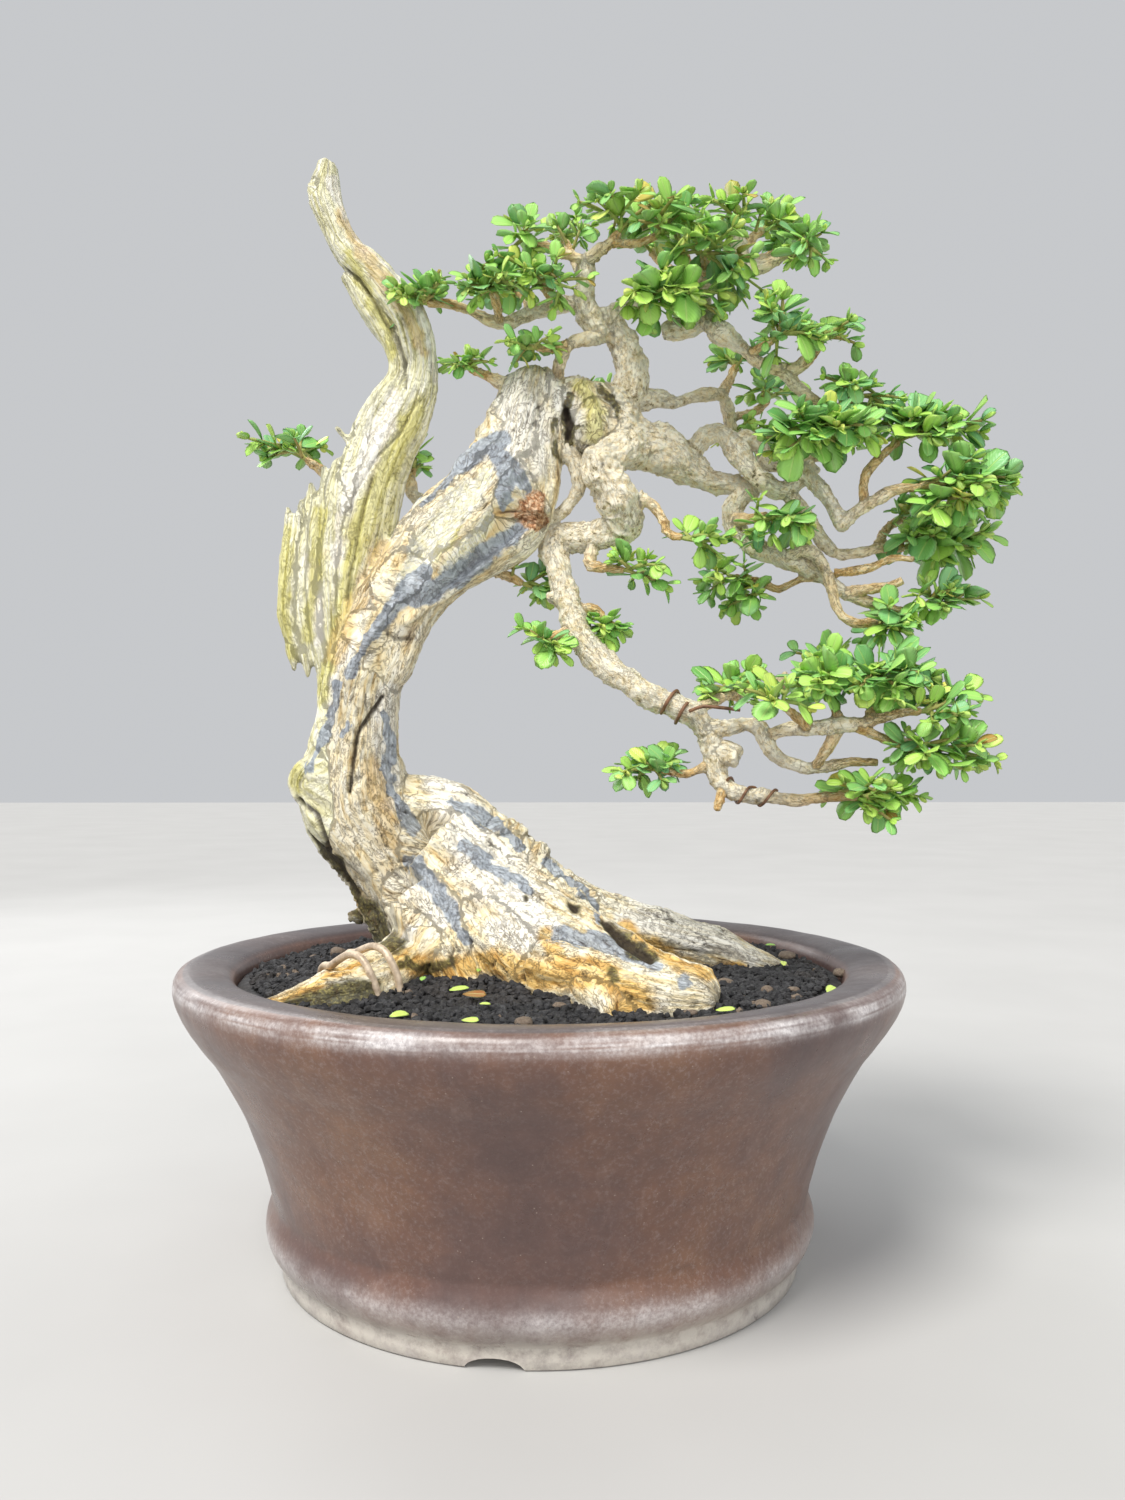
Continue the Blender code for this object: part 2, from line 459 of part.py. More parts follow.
def lathe(profile, segments):
    """Closed body turned from (radius, height) points listed anticlockwise in the half plane."""
    points, faces = [], []
    for radius, height in profile:
        for k in range(segments):
            angle = 2 * math.pi * k / segments
            points.append((radius * math.cos(angle), radius * math.sin(angle), height))
    rows = len(profile)
    for i in range(rows):
        for k in range(segments):
            a = i * segments + k
            b = i * segments + (k + 1) % segments
            c = (i + 1) % rows * segments
            faces.append((a, b, c + (k + 1) % segments, c + k))
    return points, faces


def inner_wall():
    """(radius, height) points of the pot's inside, from floor to lip."""
    return [(0.097, FLOOR_TOP), (0.106, 0.050), (0.121, 0.092), (0.1265, 0.117)]


def pot_profile():
    foot = [(DRAIN_RADIUS, 0.006), (0.0985, 0.006), (0.0985, 0.0), (0.108, 0.0), (0.1085, 0.0085)]
    band = [(0.1122, 0.0120), (0.1146, 0.019), (0.1118, 0.0305)]
    wall = [(0.1170, 0.050), (0.1258, 0.072), (0.1345, 0.0905), (0.1465, 0.1090)]
    lip = [(0.1502, 0.1142), (RIM_RADIUS, 0.1182), (0.1488, 0.1222), (0.143, POT_HEIGHT),
           (0.134, 0.1237), (0.1285, 0.1215)]
    inside = list(reversed(inner_wall()))
    return foot + band + wall + lip + inside + [(DRAIN_RADIUS, FLOOR_TOP)]


def low_arch(radius, length, stretch):
    """A lying prism with a flattened round section, for cutting the foot's drainage notches."""
    sides = 12
    points, faces = [], []
    for end in (-length / 2, length / 2):
        for k in range(sides):
            angle = 2 * math.pi * k / sides
            points.append((radius * math.cos(angle), end, radius * stretch * math.sin(angle)))
    for k in range(sides):
        n = (k + 1) % sides
        faces.append((k, k + sides, n + sides, n))
    faces.append(tuple(range(sides)))
    faces.append(tuple(reversed(range(sides, 2 * sides))))
    return points, faces


def make_pot(look):
    points, faces = lathe(pot_profile(), POT_SEGMENTS)
    pot = add_object("pot", points, faces, look)
    cutters = []
    for i in range(FOOT_NOTCHES):
        angle = FIRST_NOTCH_ANGLE + i * 2 * math.pi / FOOT_NOTCHES
        arch = low_arch(FOOT_NOTCH_WIDTH / 2, FOOT_NOTCH_DEPTH, 2 * FOOT_NOTCH_HEIGHT / FOOT_NOTCH_WIDTH)
        cutter = add_object(f"notch_{i}", *arch)
        outward = Vector((math.cos(angle), math.sin(angle), 0.0))
        place = Matrix.Translation(outward * FOOT_NOTCH_PLACE)
        cutter.data.transform(place @ Matrix.Rotation(angle - math.pi / 2, 4, "Z"))
        cutters.append(cutter)
    boolean(pot, cutters, "DIFFERENCE")
    return pot


def box(name, low, high):
    corners = [(x, y, z) for x in (low[0], high[0]) for y in (low[1], high[1])
               for z in (low[2], high[2])]
    faces = [(0, 1, 3, 2), (4, 6, 7, 5), (0, 4, 5, 1), (2, 3, 7, 6), (0, 2, 6, 4), (1, 5, 7, 3)]
    return add_object(name, corners, faces)


def make_drain_mesh(look):
    """Plastic mesh that keeps the soil in over the drain hole."""
    low = FLOOR_TOP + GAP
    half = MESH_SIDE / 2
    plate = box("drain_mesh", (-half, -half, low), (half, half, low + MESH_THICKNESS))
    plate.data.materials.append(look)
    cutters = []
    for i in (-1, 1):
        for j in (-1, 1):
            x, y, r = i * MESH_PITCH / 2, j * MESH_PITCH / 2, MESH_HOLE / 2
            cutters.append(box(f"hole_{i}_{j}", (x - r, y - r, low - 0.002), (x + r, y + r, low + 0.003)))
    boolean(plate, cutters, "DIFFERENCE")
    return plate


def fluted_tubes(group, sides, flute):
    """Closed tubes of a group of routes, each fluted in its own phase."""
    parts = []
    for i, name in enumerate(sorted(group)):
        line = rounded(smooth(route(group[name]), CURVE_STEPS))
        parts.append(tube(line, sides, flute, 5 + i % 3, FLUTE_TWIST, i * FLUTE_PHASE))
    return parts


def keep_largest_body(item):
    """Drops the specks that thinning a mesh can leave beside it."""
    work = bmesh.new()
    work.from_mesh(item.data)
    waiting = set(work.verts)
    bodies = []
    while waiting:
        body = [waiting.pop()]
        for vert in body:
            for edge in vert.link_edges:
                other = edge.other_vert(vert)
                if other in waiting:
                    waiting.remove(other)
                    body.append(other)
        bodies.append(body)
    bodies.sort(key=len)
    bmesh.ops.delete(work, geom=[v for body in bodies[:-1] for v in body], context="VERTS")
    work.to_mesh(item.data)
    work.free()


def make_thick_wood(look):
    """Trunk, deadwood, roots and the thicker branches, fused and drawn as one coarse skin."""
    thick_limbs = {name: points for name, points in LIMBS.items() if name not in SPRAYS}
    parts = fluted_tubes(TRUNK, 20, 0.05)
    parts += fluted_tubes(ROOTS, 16, 0.07)
    parts += fluted_tubes(DEADWOOD, 12, 0.10)
    parts += fluted_tubes(KNOTS, 10, 0.0)
    parts += fluted_tubes(thick_limbs, 10, 0.0)
    wood = add_object("wood", *gathered(parts), look)
    skin = wood.modifiers.new("skin", "REMESH")
    skin.mode = "VOXEL"
    skin.voxel_size = WOOD_VOXEL
    apply_modifiers(wood)
    foot = box("foot_cut", (-0.2, -0.2, 0.0), (0.2, 0.2, WOOD_FOOT))
    boolean(wood, [foot], "DIFFERENCE", "MANIFOLD")
    thin = wood.modifiers.new("thin", "DECIMATE")
    thin.ratio = WOOD_TRIANGLES / sum(len(p.vertices) - 2 for p in wood.data.polygons)
    apply_modifiers(wood)
    keep_largest_body(wood)
    return wood


def make_wood(look):
    """The whole grown tree, with its thinner branches and twigs joined to the thick wood."""
    wood = make_thick_wood(look)
    slender = []
    for name, points in {**LIMBS, **TWIGS}.items():
        if name in LIMBS and name not in SPRAYS:
            continue
        sides = 4
        if name in LIMBS:
            sides = 6 if max(radius for _, _, _, radius in points) > 3.2 else 5
        slender.append(add_object(name, *tube(route(points), sides)))
    boolean(wood, slender, "UNION", "MANIFOLD")
    return wood


def skin_of(item):
    """The item's surface, for asking what crosses it or lies near it."""
    mesh = item.data
    return BVHTree.FromPolygons([v.co.copy() for v in mesh.vertices],
                                [tuple(p.vertices) for p in mesh.polygons])


def wrapped(skin, axis, direction, angles, radius, ahead):
    """Points of a wire bent round the wood: each lies clear of the skin, seen from the axis."""
    direction = direction.normalized()
    up = (Vector((0, 0, 1)) - direction * direction.z).normalized()
    side = up.cross(direction)
    points = []
    for i, degrees in enumerate(angles):
        centre = axis + direction * ahead * i / (len(angles) - 1)
        reach = 0.0
        for slip in (-1.3 * radius, 0.0, 1.3 * radius):
            for turn in (-18, -9, 0, 9, 18):
                angle = math.radians(degrees + turn)
                out = up * math.cos(angle) + side * math.sin(angle)
                reach = max(reach, skin.ray_cast(centre + direction * slip, out, 0.06)[3])
        angle = math.radians(degrees)
        out = up * math.cos(angle) + side * math.sin(angle)
        points.append(centre + out * (reach + radius + GAP))
    return points


def make_root_wire(name, skin, along, look):
    """A stiff wire arched over the left root, both ends pushed into the soil."""
    line = smooth(route(ROOTS["left_root"]), CURVE_STEPS)
    place, _ = line[along]
    direction = line[along + 1][0] - place
    arch = wrapped(skin, place, direction, ROOT_WIRE_TURN, ROOT_WIRE_RADIUS, ROOT_WIRE_ADVANCE)
    across = (arch[-1] - arch[0]) * Vector((1, 1, 0))
    splay = across.normalized() * WIRE_SPLAY
    sunk = SOIL_EDGE - WIRE_DEPTH
    start, stop = arch[0] - splay, arch[-1] + splay
    path = [Vector((start.x, start.y, sunk)), *arch, Vector((stop.x, stop.y, sunk))]
    return add_object(name, *tube([(p, ROOT_WIRE_RADIUS) for p in path], 6), look)


def make_branch_wire(skin, look):
    """Thin training wire wound round the low branch."""
    line = smooth(route(LIMBS["low_branch"]), CURVE_STEPS)
    place, beyond = (line[i][0] for i in BRANCH_WIRE_STATIONS)
    path = wrapped(skin, place, beyond - place, BRANCH_WIRE_TURN, BRANCH_WIRE_RADIUS,
                   BRANCH_WIRE_ADVANCE)
    return add_object("branch_wire", *tube([(p, BRANCH_WIRE_RADIUS) for p in path], 5), look)


def soil_height(x, y):
    """Height of the soil's top: a low mound with uneven waves on it."""
    away = ((x - MOUND_PLACE[0]) ** 2 + (y - MOUND_PLACE[1]) ** 2) / MOUND_SPREAD ** 2
    wave = math.sin(x * 97 + 1.3) * math.cos(y * 83 - 0.4) + 0.6 * math.sin(x * 190 + y * 151)
    return SOIL_EDGE + SOIL_MOUND * math.exp(-away) + SOIL_WAVE * wave


def soil_body():
    """Soil filling the pot, with the same sides as the pot so that the gap stays even."""
    points, faces = [], []
    inset = GAP / math.cos(math.pi / POT_SEGMENTS)
    wall = inner_wall()
    rows = [(r - inset, z + (GAP if i == 0 else 0.0)) for i, (r, z) in enumerate(wall)]
    edge = SOIL_EDGE - SOIL_ROUNDING
    last_share = (edge - wall[-2][1]) / (wall[-1][1] - wall[-2][1])
    edge_radius = rows[-2][0] + (rows[-1][0] - rows[-2][0]) * last_share
    rows[-1] = (edge_radius, edge)
    for radius, height in rows:
        for k in range(POT_SEGMENTS):
            angle = 2 * math.pi * k / POT_SEGMENTS
            points.append((radius * math.cos(angle), radius * math.sin(angle), height))
    for radius in reversed(SOIL_RINGS):
        for k in range(POT_SEGMENTS):
            angle = 2 * math.pi * k / POT_SEGMENTS
            x, y = radius * math.cos(angle), radius * math.sin(angle)
            points.append((x, y, soil_height(x, y)))
    count = len(points) // POT_SEGMENTS
    for i in range(count - 1):
        for k in range(POT_SEGMENTS):
            n = (k + 1) % POT_SEGMENTS
            a, b = i * POT_SEGMENTS, (i + 1) * POT_SEGMENTS
            faces.append((a + k, a + n, b + n))
            faces.append((a + k, b + n, b + k))
    faces.append(tuple(reversed(range(POT_SEGMENTS))))
    points.append((0.0, 0.0, soil_height(0.0, 0.0)))
    top = (count - 1) * POT_SEGMENTS
    for k in range(POT_SEGMENTS):
        faces.append((top + k, top + (k + 1) % POT_SEGMENTS, len(points) - 1))
    return points, faces


def fattened(item, name, extra, below):
    """A slightly larger copy of the part of an item that lies under a height."""
    mesh = item.data.copy()
    made = bpy.data.objects.new(name, mesh)
    bpy.context.scene.collection.objects.link(made)
    normals = [v.normal.copy() for v in mesh.vertices]
    for vert, normal in zip(mesh.vertices, normals):
        vert.co += normal * extra
    boolean(made, [box("above", (-0.3, -0.3, below), (0.3, 0.3, 0.6))], "DIFFERENCE", "MANIFOLD")
    return made


def make_soil(wood, wires, look):
    soil = add_object("soil", *soil_body(), look)
    half = MESH_SIDE / 2 + GAP
    cutters = [box("mesh_pocket", (-half, -half, 0.0),
                   (half, half, FLOOR_TOP + MESH_THICKNESS + 2 * GAP))]
    for i, extra in enumerate(WOOD_ROOM):
        cutters.append(fattened(wood, f"wood_room_{i}", extra, ROOM_TOP))
    for wire in wires:
        cutters.append(fattened(wire, wire.name + "_room", WIRE_ROOM, ROOM_TOP))
    boolean(soil, cutters, "DIFFERENCE", "MANIFOLD")
    keep_largest_body(soil)
    return soil


def blade_rows(base, along, across, length, width, thickness):
    """Upper and lower points of a blade folded along its rib: three at its widest, two at its end."""
    face_up = along.cross(across)
    upper, lower = [], []
    for share, offsets in ((0.52, (-0.5, 0.0, 0.5)), (0.97, (-0.21, 0.21))):
        for offset in offsets:
            rise = LEAF_FOLD * width * abs(offset) - LEAF_DROOP * length * share * share
            place = base + along * length * share + across * width * offset + face_up * rise
            upper.append(place + face_up * thickness / 2)
            lower.append(place - face_up * thickness / 2)
    return upper + lower


def blade_faces(a, b, c, d, first):
    """Faces of a blade grown from the quad a, b, c, d of a shoot, whose new points start at first."""
    sheet = [("r0", 0, 1), ("r0", 1, "r1"), ("r1", 1, 2), (0, 3, 1), (1, 3, 4), (1, 4, 2)]
    upper = {"r0": d, "r1": c, **{i: first + i for i in range(5)}}
    lower = {"r0": a, "r1": b, **{i: first + 5 + i for i in range(5)}}
    faces = [tuple(upper[i] for i in face) for face in sheet]
    faces += [tuple(lower[i] for i in reversed(face)) for face in sheet]
    rim = ["r0", 0, 3, 4, 2, "r1"]
    for one, two in zip(rim[:-1], rim[1:]):
        faces.append((upper[two], upper[one], lower[one]))
        faces.append((upper[two], lower[one], lower[two]))
    return faces


def crosses(points, faces, trees):
    shape = BVHTree.FromPolygons(points, faces)
    return any(shape.overlap(tree) for tree in trees)


def shoot_line(end, ahead, tips, dice):
    """Centre line of a shoot that starts beyond its twig's end and turns up at each leaf node.

    Also gives the first point of every node that carries a pair of leaves.
    """
    line = [(end + ahead * GAP, SHOOT_RADIUS), (end + ahead * SHOOT_START, SHOOT_RADIUS * 0.92)]
    nodes = []
    for i, tip in enumerate(tips):
        lean = Vector((dice.uniform(-0.4, 0.4), dice.uniform(-0.4, 0.4) + LEAN * tip.y, 1.0))
        if tip.x > line[-1][0].x:
            lean.x += 0.25
        lean = lean.normalized() * NODE_HEIGHT
        pairs = 2 if i == len(tips) - 1 and dice.random() < SECOND_PAIR else 1
        for step in range(pairs + 1):
            place = tip + lean * (step - pairs)
            line.append((place, TIP_RADIUS * (1.0 if step < pairs else 0.92)))
            if step < pairs:
                nodes.append(len(line) - 1)
    return line, nodes


def leafy_shoot(line, nodes, first_angle, dice, trees):
    """A four-sided shoot whose leaves are drawn out of its side faces, in crossed pairs."""
    sides = 4
    points, faces = tube(line, sides, first_angle=first_angle)
    own = [BVHTree.FromPolygons(points, faces)]
    grown = 0
    for number, (row, side) in enumerate((row, side) for row in nodes for side in (0, 2)):
        k = (side + number // 2) % sides
        a, b = row * sides + k, row * sides + (k + 1) % sides
        c, d = b + sides, a + sides
        across = (points[b] - points[a]).normalized()
        stem = (points[d] - points[a]).normalized()
        outward = across.cross(stem).normalized()
        base = (points[a] + points[b] + points[c] + points[d]) / 4
        for attempt in range(4):
            length = dice.uniform(*LEAF_LENGTH)
            width = length * dice.uniform(*LEAF_WIDTH_SHARE)
            tilt, turn = dice.uniform(0.05, 0.75), dice.uniform(-0.35, 0.35)
            along = (outward + stem * tilt + across * turn).normalized()
            wide = (across - along * across.dot(along)).normalized()
            up = along.cross(wide)
            corners = [base + along * 0.0015 + wide * x * 0.0009 + up * y * 0.0005
                       for x, y in ((-1, -1), (1, -1), (1, 1), (-1, 1))]
            blade = blade_rows(base, along, wide, length, width, LEAF_THICKNESS)
            guard = blade_rows(base, along, wide, length + 2 * GAP, width + 4 * GAP,
                               LEAF_THICKNESS + 4 * GAP)
            around = blade_faces(0, 1, 2, 3, 4)
            if not crosses(corners + blade, around, own) and not crosses(corners + guard, around, trees):
                break
        else:
            continue
        own.append(BVHTree.FromPolygons(corners + blade, around))
        faces.remove((a, b, c, d))
        faces += blade_faces(a, b, c, d, len(points))
        points += blade
        grown += 1
    return points, faces, grown


def make_spray(name, number, ends, trees, look):
    """One leafy shoot, turned about itself so that most of its leaves stand clear."""
    dice = random.Random(SEED * 1000 + number)
    end, ahead = ends[name]
    line, nodes = shoot_line(end, ahead, [on_view(*place) for place in SPRAYS[name]], dice)
    best = None
    for attempt in range(6):
        shoot = leafy_shoot(line, nodes, dice.uniform(0, math.pi), dice, trees)
        if best is None or shoot[2] > best[2]:
            best = shoot
    return add_object("spray_" + name, best[0], best[1], look)


def twig_ends():
    """Where each spray's twig ends, and the way it points."""
    ends = {}
    for name in SPRAYS:
        places = [p for p, _ in route((TWIGS.get(name) or LIMBS[name])[-2:])]
        ends[name] = (places[1], (places[1] - places[0]).normalized())
    return ends


def make_sprays(wood, wires, look):
    trees = [skin_of(item) for item in (wood, *wires)]
    ends = twig_ends()
    made = []
    for number, name in enumerate(sorted(SPRAYS)):
        spray = make_spray(name, number, ends, trees, look)
        trees.append(skin_of(spray))
        made.append(spray)
    return made


def centre_on_base(items):
    """Moves the whole model so that the origin is the middle of its base."""
    corners = [v.co for item in items for v in item.data.vertices]
    middle = Vector(((min(c.x for c in corners) + max(c.x for c in corners)) / 2,
                     (min(c.y for c in corners) + max(c.y for c in corners)) / 2,
                     min(c.z for c in corners)))
    for item in items:
        item.data.transform(Matrix.Translation(-middle))


def shade(item, sharp_degrees):
    item.data.shade_smooth()
    item.data.set_sharp_from_angle(angle=math.radians(sharp_degrees))


def main():
    clear_scene()
    clay = material("clay", (0.115, 0.080, 0.070), 0.45)
    plastic = material("plastic", (0.02, 0.02, 0.02), 0.6)
    bark = material("bark", (0.62, 0.52, 0.36), 0.8)
    grit = material("grit", (0.035, 0.035, 0.038), 0.9)
    root_wire_metal = material("root_wire_metal", (0.40, 0.35, 0.30), 0.5, 0.8)
    branch_wire_metal = material("branch_wire_metal", (0.18, 0.12, 0.08), 0.5, 0.8)
    leaf = material("leaf", (0.10, 0.25, 0.05), 0.4)
    pot = make_pot(clay)
    drain_mesh = make_drain_mesh(plastic)
    wood = make_wood(bark)
    skin = skin_of(wood)
    root_wires = [make_root_wire(f"root_wire_{i + 1}", skin, along, root_wire_metal)
                  for i, along in enumerate(ROOT_WIRE_STATIONS)]
    branch_wire = make_branch_wire(skin, branch_wire_metal)
    soil = make_soil(wood, root_wires, grit)
    sprays = make_sprays(wood, [branch_wire, *root_wires], leaf)
    centre_on_base([pot, drain_mesh, soil, wood, branch_wire, *root_wires, *sprays])
    for item in (pot, branch_wire, *root_wires):
        shade(item, 35)
    shade(wood, 60)


main()
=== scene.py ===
"""Looks of the premna bonsai in its pot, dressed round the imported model.

Blender 4.5, metres, +Z up. Everything is drawn round the pot's axis, as the model's source does, and
moved to the frame's place when its object is made.
"""

import math
import random

import bmesh
import bpy
import numpy as np
from mathutils import Matrix, Vector, noise
from mathutils.bvhtree import BVHTree
from mathutils.kdtree import KDTree


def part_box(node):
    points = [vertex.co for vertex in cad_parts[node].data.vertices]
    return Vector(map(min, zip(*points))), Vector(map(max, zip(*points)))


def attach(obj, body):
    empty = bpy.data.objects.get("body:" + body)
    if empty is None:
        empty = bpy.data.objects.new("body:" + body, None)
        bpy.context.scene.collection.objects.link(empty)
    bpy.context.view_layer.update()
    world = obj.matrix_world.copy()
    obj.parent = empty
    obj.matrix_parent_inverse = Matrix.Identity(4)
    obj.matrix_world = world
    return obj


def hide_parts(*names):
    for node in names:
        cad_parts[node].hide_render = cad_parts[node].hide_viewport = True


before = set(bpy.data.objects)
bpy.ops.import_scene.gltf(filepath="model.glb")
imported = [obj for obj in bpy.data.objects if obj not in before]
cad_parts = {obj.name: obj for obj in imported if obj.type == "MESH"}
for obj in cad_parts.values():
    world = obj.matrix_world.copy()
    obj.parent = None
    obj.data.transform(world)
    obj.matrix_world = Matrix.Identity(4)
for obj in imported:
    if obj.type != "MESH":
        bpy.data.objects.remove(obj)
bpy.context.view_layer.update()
POT_LOW, POT_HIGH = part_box("pot")
OFFSET = Vector(((POT_LOW[0] + POT_HIGH[0]) / 2, (POT_LOW[1] + POT_HIGH[1]) / 2, 0.0))

MM = 0.001

# A drawn line is nowhere thinner than this radius.
THINNEST = 0.0003

# The camera: where it stands from the pot's axis, its lens and sensor in mm, and its turn.
EYE = Vector((0.0, -0.517, 0.206))
LENS = 28.8
SENSOR = 36.0
EYE_PITCH = 0.012
EYE_YAW = -0.018

# Where the pot's axis and the eye's height show in the photograph, and a pixel's size at the axis.
VIEW_CENTRE = (541.0, 764.4)
PIXEL_MM = 0.431

# Studio: a soft sun from the left, an even sky, and lamps by place, width, power and colour.
SUN_WAY = (0.40, 0.60, -1.0)
SUN_POWER = 3.2
SUN_WIDTH = 0.45
SUN_COLOUR = (1.0, 0.97, 0.92)
SKY_COLOUR = (0.95, 0.97, 1.0, 1.0)
SKY_POWER = 0.60
LIGHT_AIM = Vector((0.0, 0.0, 0.22))
LAMPS = {
    "front": ((0.5, -1.6, 0.8), 1.2, 7.0, (1.0, 0.98, 0.95)),
    "rim": ((-0.8, 1.0, 0.9), 0.8, 5.0, (1.0, 1.0, 1.0)),
}
FLOOR_SIZE = 12.0

# Pot.
DRAIN_RADIUS = 0.015
FLOOR_TOP = 0.016
FOOT_NOTCHES = 3
FOOT_NOTCH_WIDTH = 0.021
FOOT_NOTCH_HEIGHT = 0.0045
FOOT_NOTCH_LENGTH = 0.030
FOOT_MIDDLE = 0.104
FIRST_NOTCH_ANGLE = math.radians(-98.5)
POT_SEGMENTS = 160

# Soil.
SOIL_EDGE = 0.1172
SOIL_MOUND = 0.005
MOUND_PLACE = (-0.020, 0.0)
MOUND_SPREAD = 0.075
SOIL_WAVE = 0.0007
SOIL_RADIUS = 0.1215

# Grit: how finely a grain is cut, the grains' pitch and sizes, the seed, and how far they rise. Its rows
# lie GRIT_ROW pitches apart.
GRIT = {
    "grit_large": (2, 0.0056, (0.0030, 0.0050), 8, (0.0, 0.5)),
    "grit_fine": (1, 0.0031, (0.0022, 0.0036), 13, (0.1, 0.9)),
}
GRIT_ROW = 0.866
STONE_SHARE = 0.012
PEBBLE_RISE = 0.0016
FALLEN_RISE = 0.0036

# Wires. A way is the two stations of the smoothed wood between which a wire runs, or whose line it bends
# round. The tail's places are (across, up, back) in mm on the front view.
ROOT_WIRE_RADIUS = 0.0015
BRANCH_WIRE_RADIUS = 0.0007
KEEL_WIRE_RADIUS = 0.00056
ROOT_WIRE_SPLAY = 0.0015
ROOT_WIRE_DEPTH = 0.006
ROOT_WIRE_WAY = (8, 11)
ROOT_WIRE_STATIONS = (12, 9)
BRANCH_WIRE_WAY = (-12, -9)
KEEL_WIRE_WAY = (14, 26)
WIRE_TAIL = [(64, 229, -44), (70, 231, -46), (78, 230.5, -47), (86, 229.5, -46)]

# Wood: voxels and triangles of the trunk's and the branches' skins, the height where the trunk's foot is
# cut, and the radius from which a twig counts as a limb.
TRUNK_VOXEL = 0.00092
BRANCH_VOXEL = 0.00068
WOOD_FOOT = 0.104
TRUNK_TRIANGLES = 197000
BRANCH_TRIANGLES = 190000
TWIG_RADIUS = 0.0034

# The deadwood's fluted plates: their right edge, top and foot in the photograph's pixels.
PLATES_RIGHT = 340
PLATES_TOP = 495
PLATES_FOOT = 690

# Leaves and shoots.
LEAF_THICKNESS = 0.0005
LEAF_ROWS = 5
LEAF_COLUMNS = 4
LEAF_LENGTH = 0.0118
LEAF_PITCH = 0.0046
TWIG_LEAF_PITCH = 0.0065
YELLOW_SHARE = 0.014
SHOOT_RADIUS = 0.00085
SHOOT_SPREAD = 0.0095
SEED = 8

# Drawn routes of the wood: stations (across, up, back, radius) in millimetres, across and up on the
# front view through the pot's axis, and back along the line of sight.
TRUNK = {
    "core": [
        (-44, 106, 10, 20), (-49, 129, 12, 20), (-56, 150, 12, 21.5), (-62.5, 166, 12, 22.5),
        (-71, 178, 10, 23.5), (-79, 190, 8, 24), (-80.5, 205, 5, 21.5), (-79, 222, 1, 18),
        (-76, 242, -2, 16.5), (-69, 262, -3, 16.5), (-57, 282, -4, 17.5), (-41, 301, -4, 20.5),
        (-23, 318, -3, 21), (-11, 337, 0, 19), (-6, 354, 2, 17), (-4, 364, 3, 14)],
    "bark_strip": [
        (4, 366, 0, 9), (1, 345, -4, 8.5), (0, 322, -6, 7.5), (-7, 303, -8, 6.5), (-21, 293, -9, 5.5),
        (-37, 284, -10, 5), (-47, 276, -10, 5.5), (-56, 262, -9, 6.5), (-63, 246, -8, 7)],
    "shoulder": [
        (-20, 352, 2, 8), (-19, 340, 0, 9), (-30, 325, -2, 9), (-44, 308, -3, 9), (-57, 288, -3, 8)],
}
BURL = {
    "burl": [
        (-4, 356, 4, 13), (14, 357, 6, 16), (27, 352, 7, 15), (43, 346, 8, 11), (54, 342, 9, 9.5),
        (63, 334, 10, 8), (72, 329, 9, 5), (86, 327, 6, 4), (91, 324, 4, 4)],
}
ROOTS = {
    "right_root": [
        (-61, 189, 10, 13), (-40, 185, 9, 13), (-24, 173, 8, 13), (-1, 152, 6, 14), (24, 139, 4, 13.5),
        (51, 132, 4, 11.5), (73, 127, 5, 9.5), (90, 121, 7, 7), (105, 117, 9, 3.5)],
    "middle_root": [
        (-43, 169, -2, 20), (-22, 150, -12, 20), (2, 135, -28, 18), (25, 124, -48, 15.5),
        (45, 113, -66, 13.5), (66, 108, -78, 11.5)],
    "apron": [(-48, 148, -8, 20), (-38, 128, -20, 20), (-30, 112, -30, 17), (-22, 98, -36, 14)],
    "heel": [(-42, 126, 2, 16), (-33, 114, 0, 17), (-26, 100, 0, 16)],
    "apron_right": [(-20, 137, -22, 18), (-4, 118, -38, 17), (6, 104, -46, 13)],
    "left_root": [
        (-48, 134, -8, 11), (-63, 124, -26, 8), (-82, 115.5, -42, 7.4), (-98, 108, -54, 6),
        (-111, 104, -62, 4), (-117, 103, -65, 2.6)],
    "back_left_root": [(-54, 142, 26, 15), (-58, 136, 44, 11), (-62, 131, 62, 7), (-64, 127, 76, 4)],
    "back_middle_root": [(-46, 150, 25, 18), (-36, 140, 50, 12), (-26, 131, 72, 8), (-20, 128, 84, 4)],
    "back_right_root": [(-20, 148, 22, 14), (5, 140, 42, 11), (30, 133, 60, 8), (48, 128, 74, 5)],
}
KNOTS = {
    "pruned_stub": [(14, 146, -4, 7), (13, 146, -13, 6.6)],
    "small_knot": [(-7, 151, -6, 4), (-7, 151, -13, 3)],
    "back_nub": [(-76, 141, 14, 4), (-80, 141, 14, 3)],
    "callus": [(-9, 322, -8, 8), (-2, 316, -12, 6)],
    "lower_nub": [(10, 278, -9, 4), (5, 278, -9, 3.2)],
}
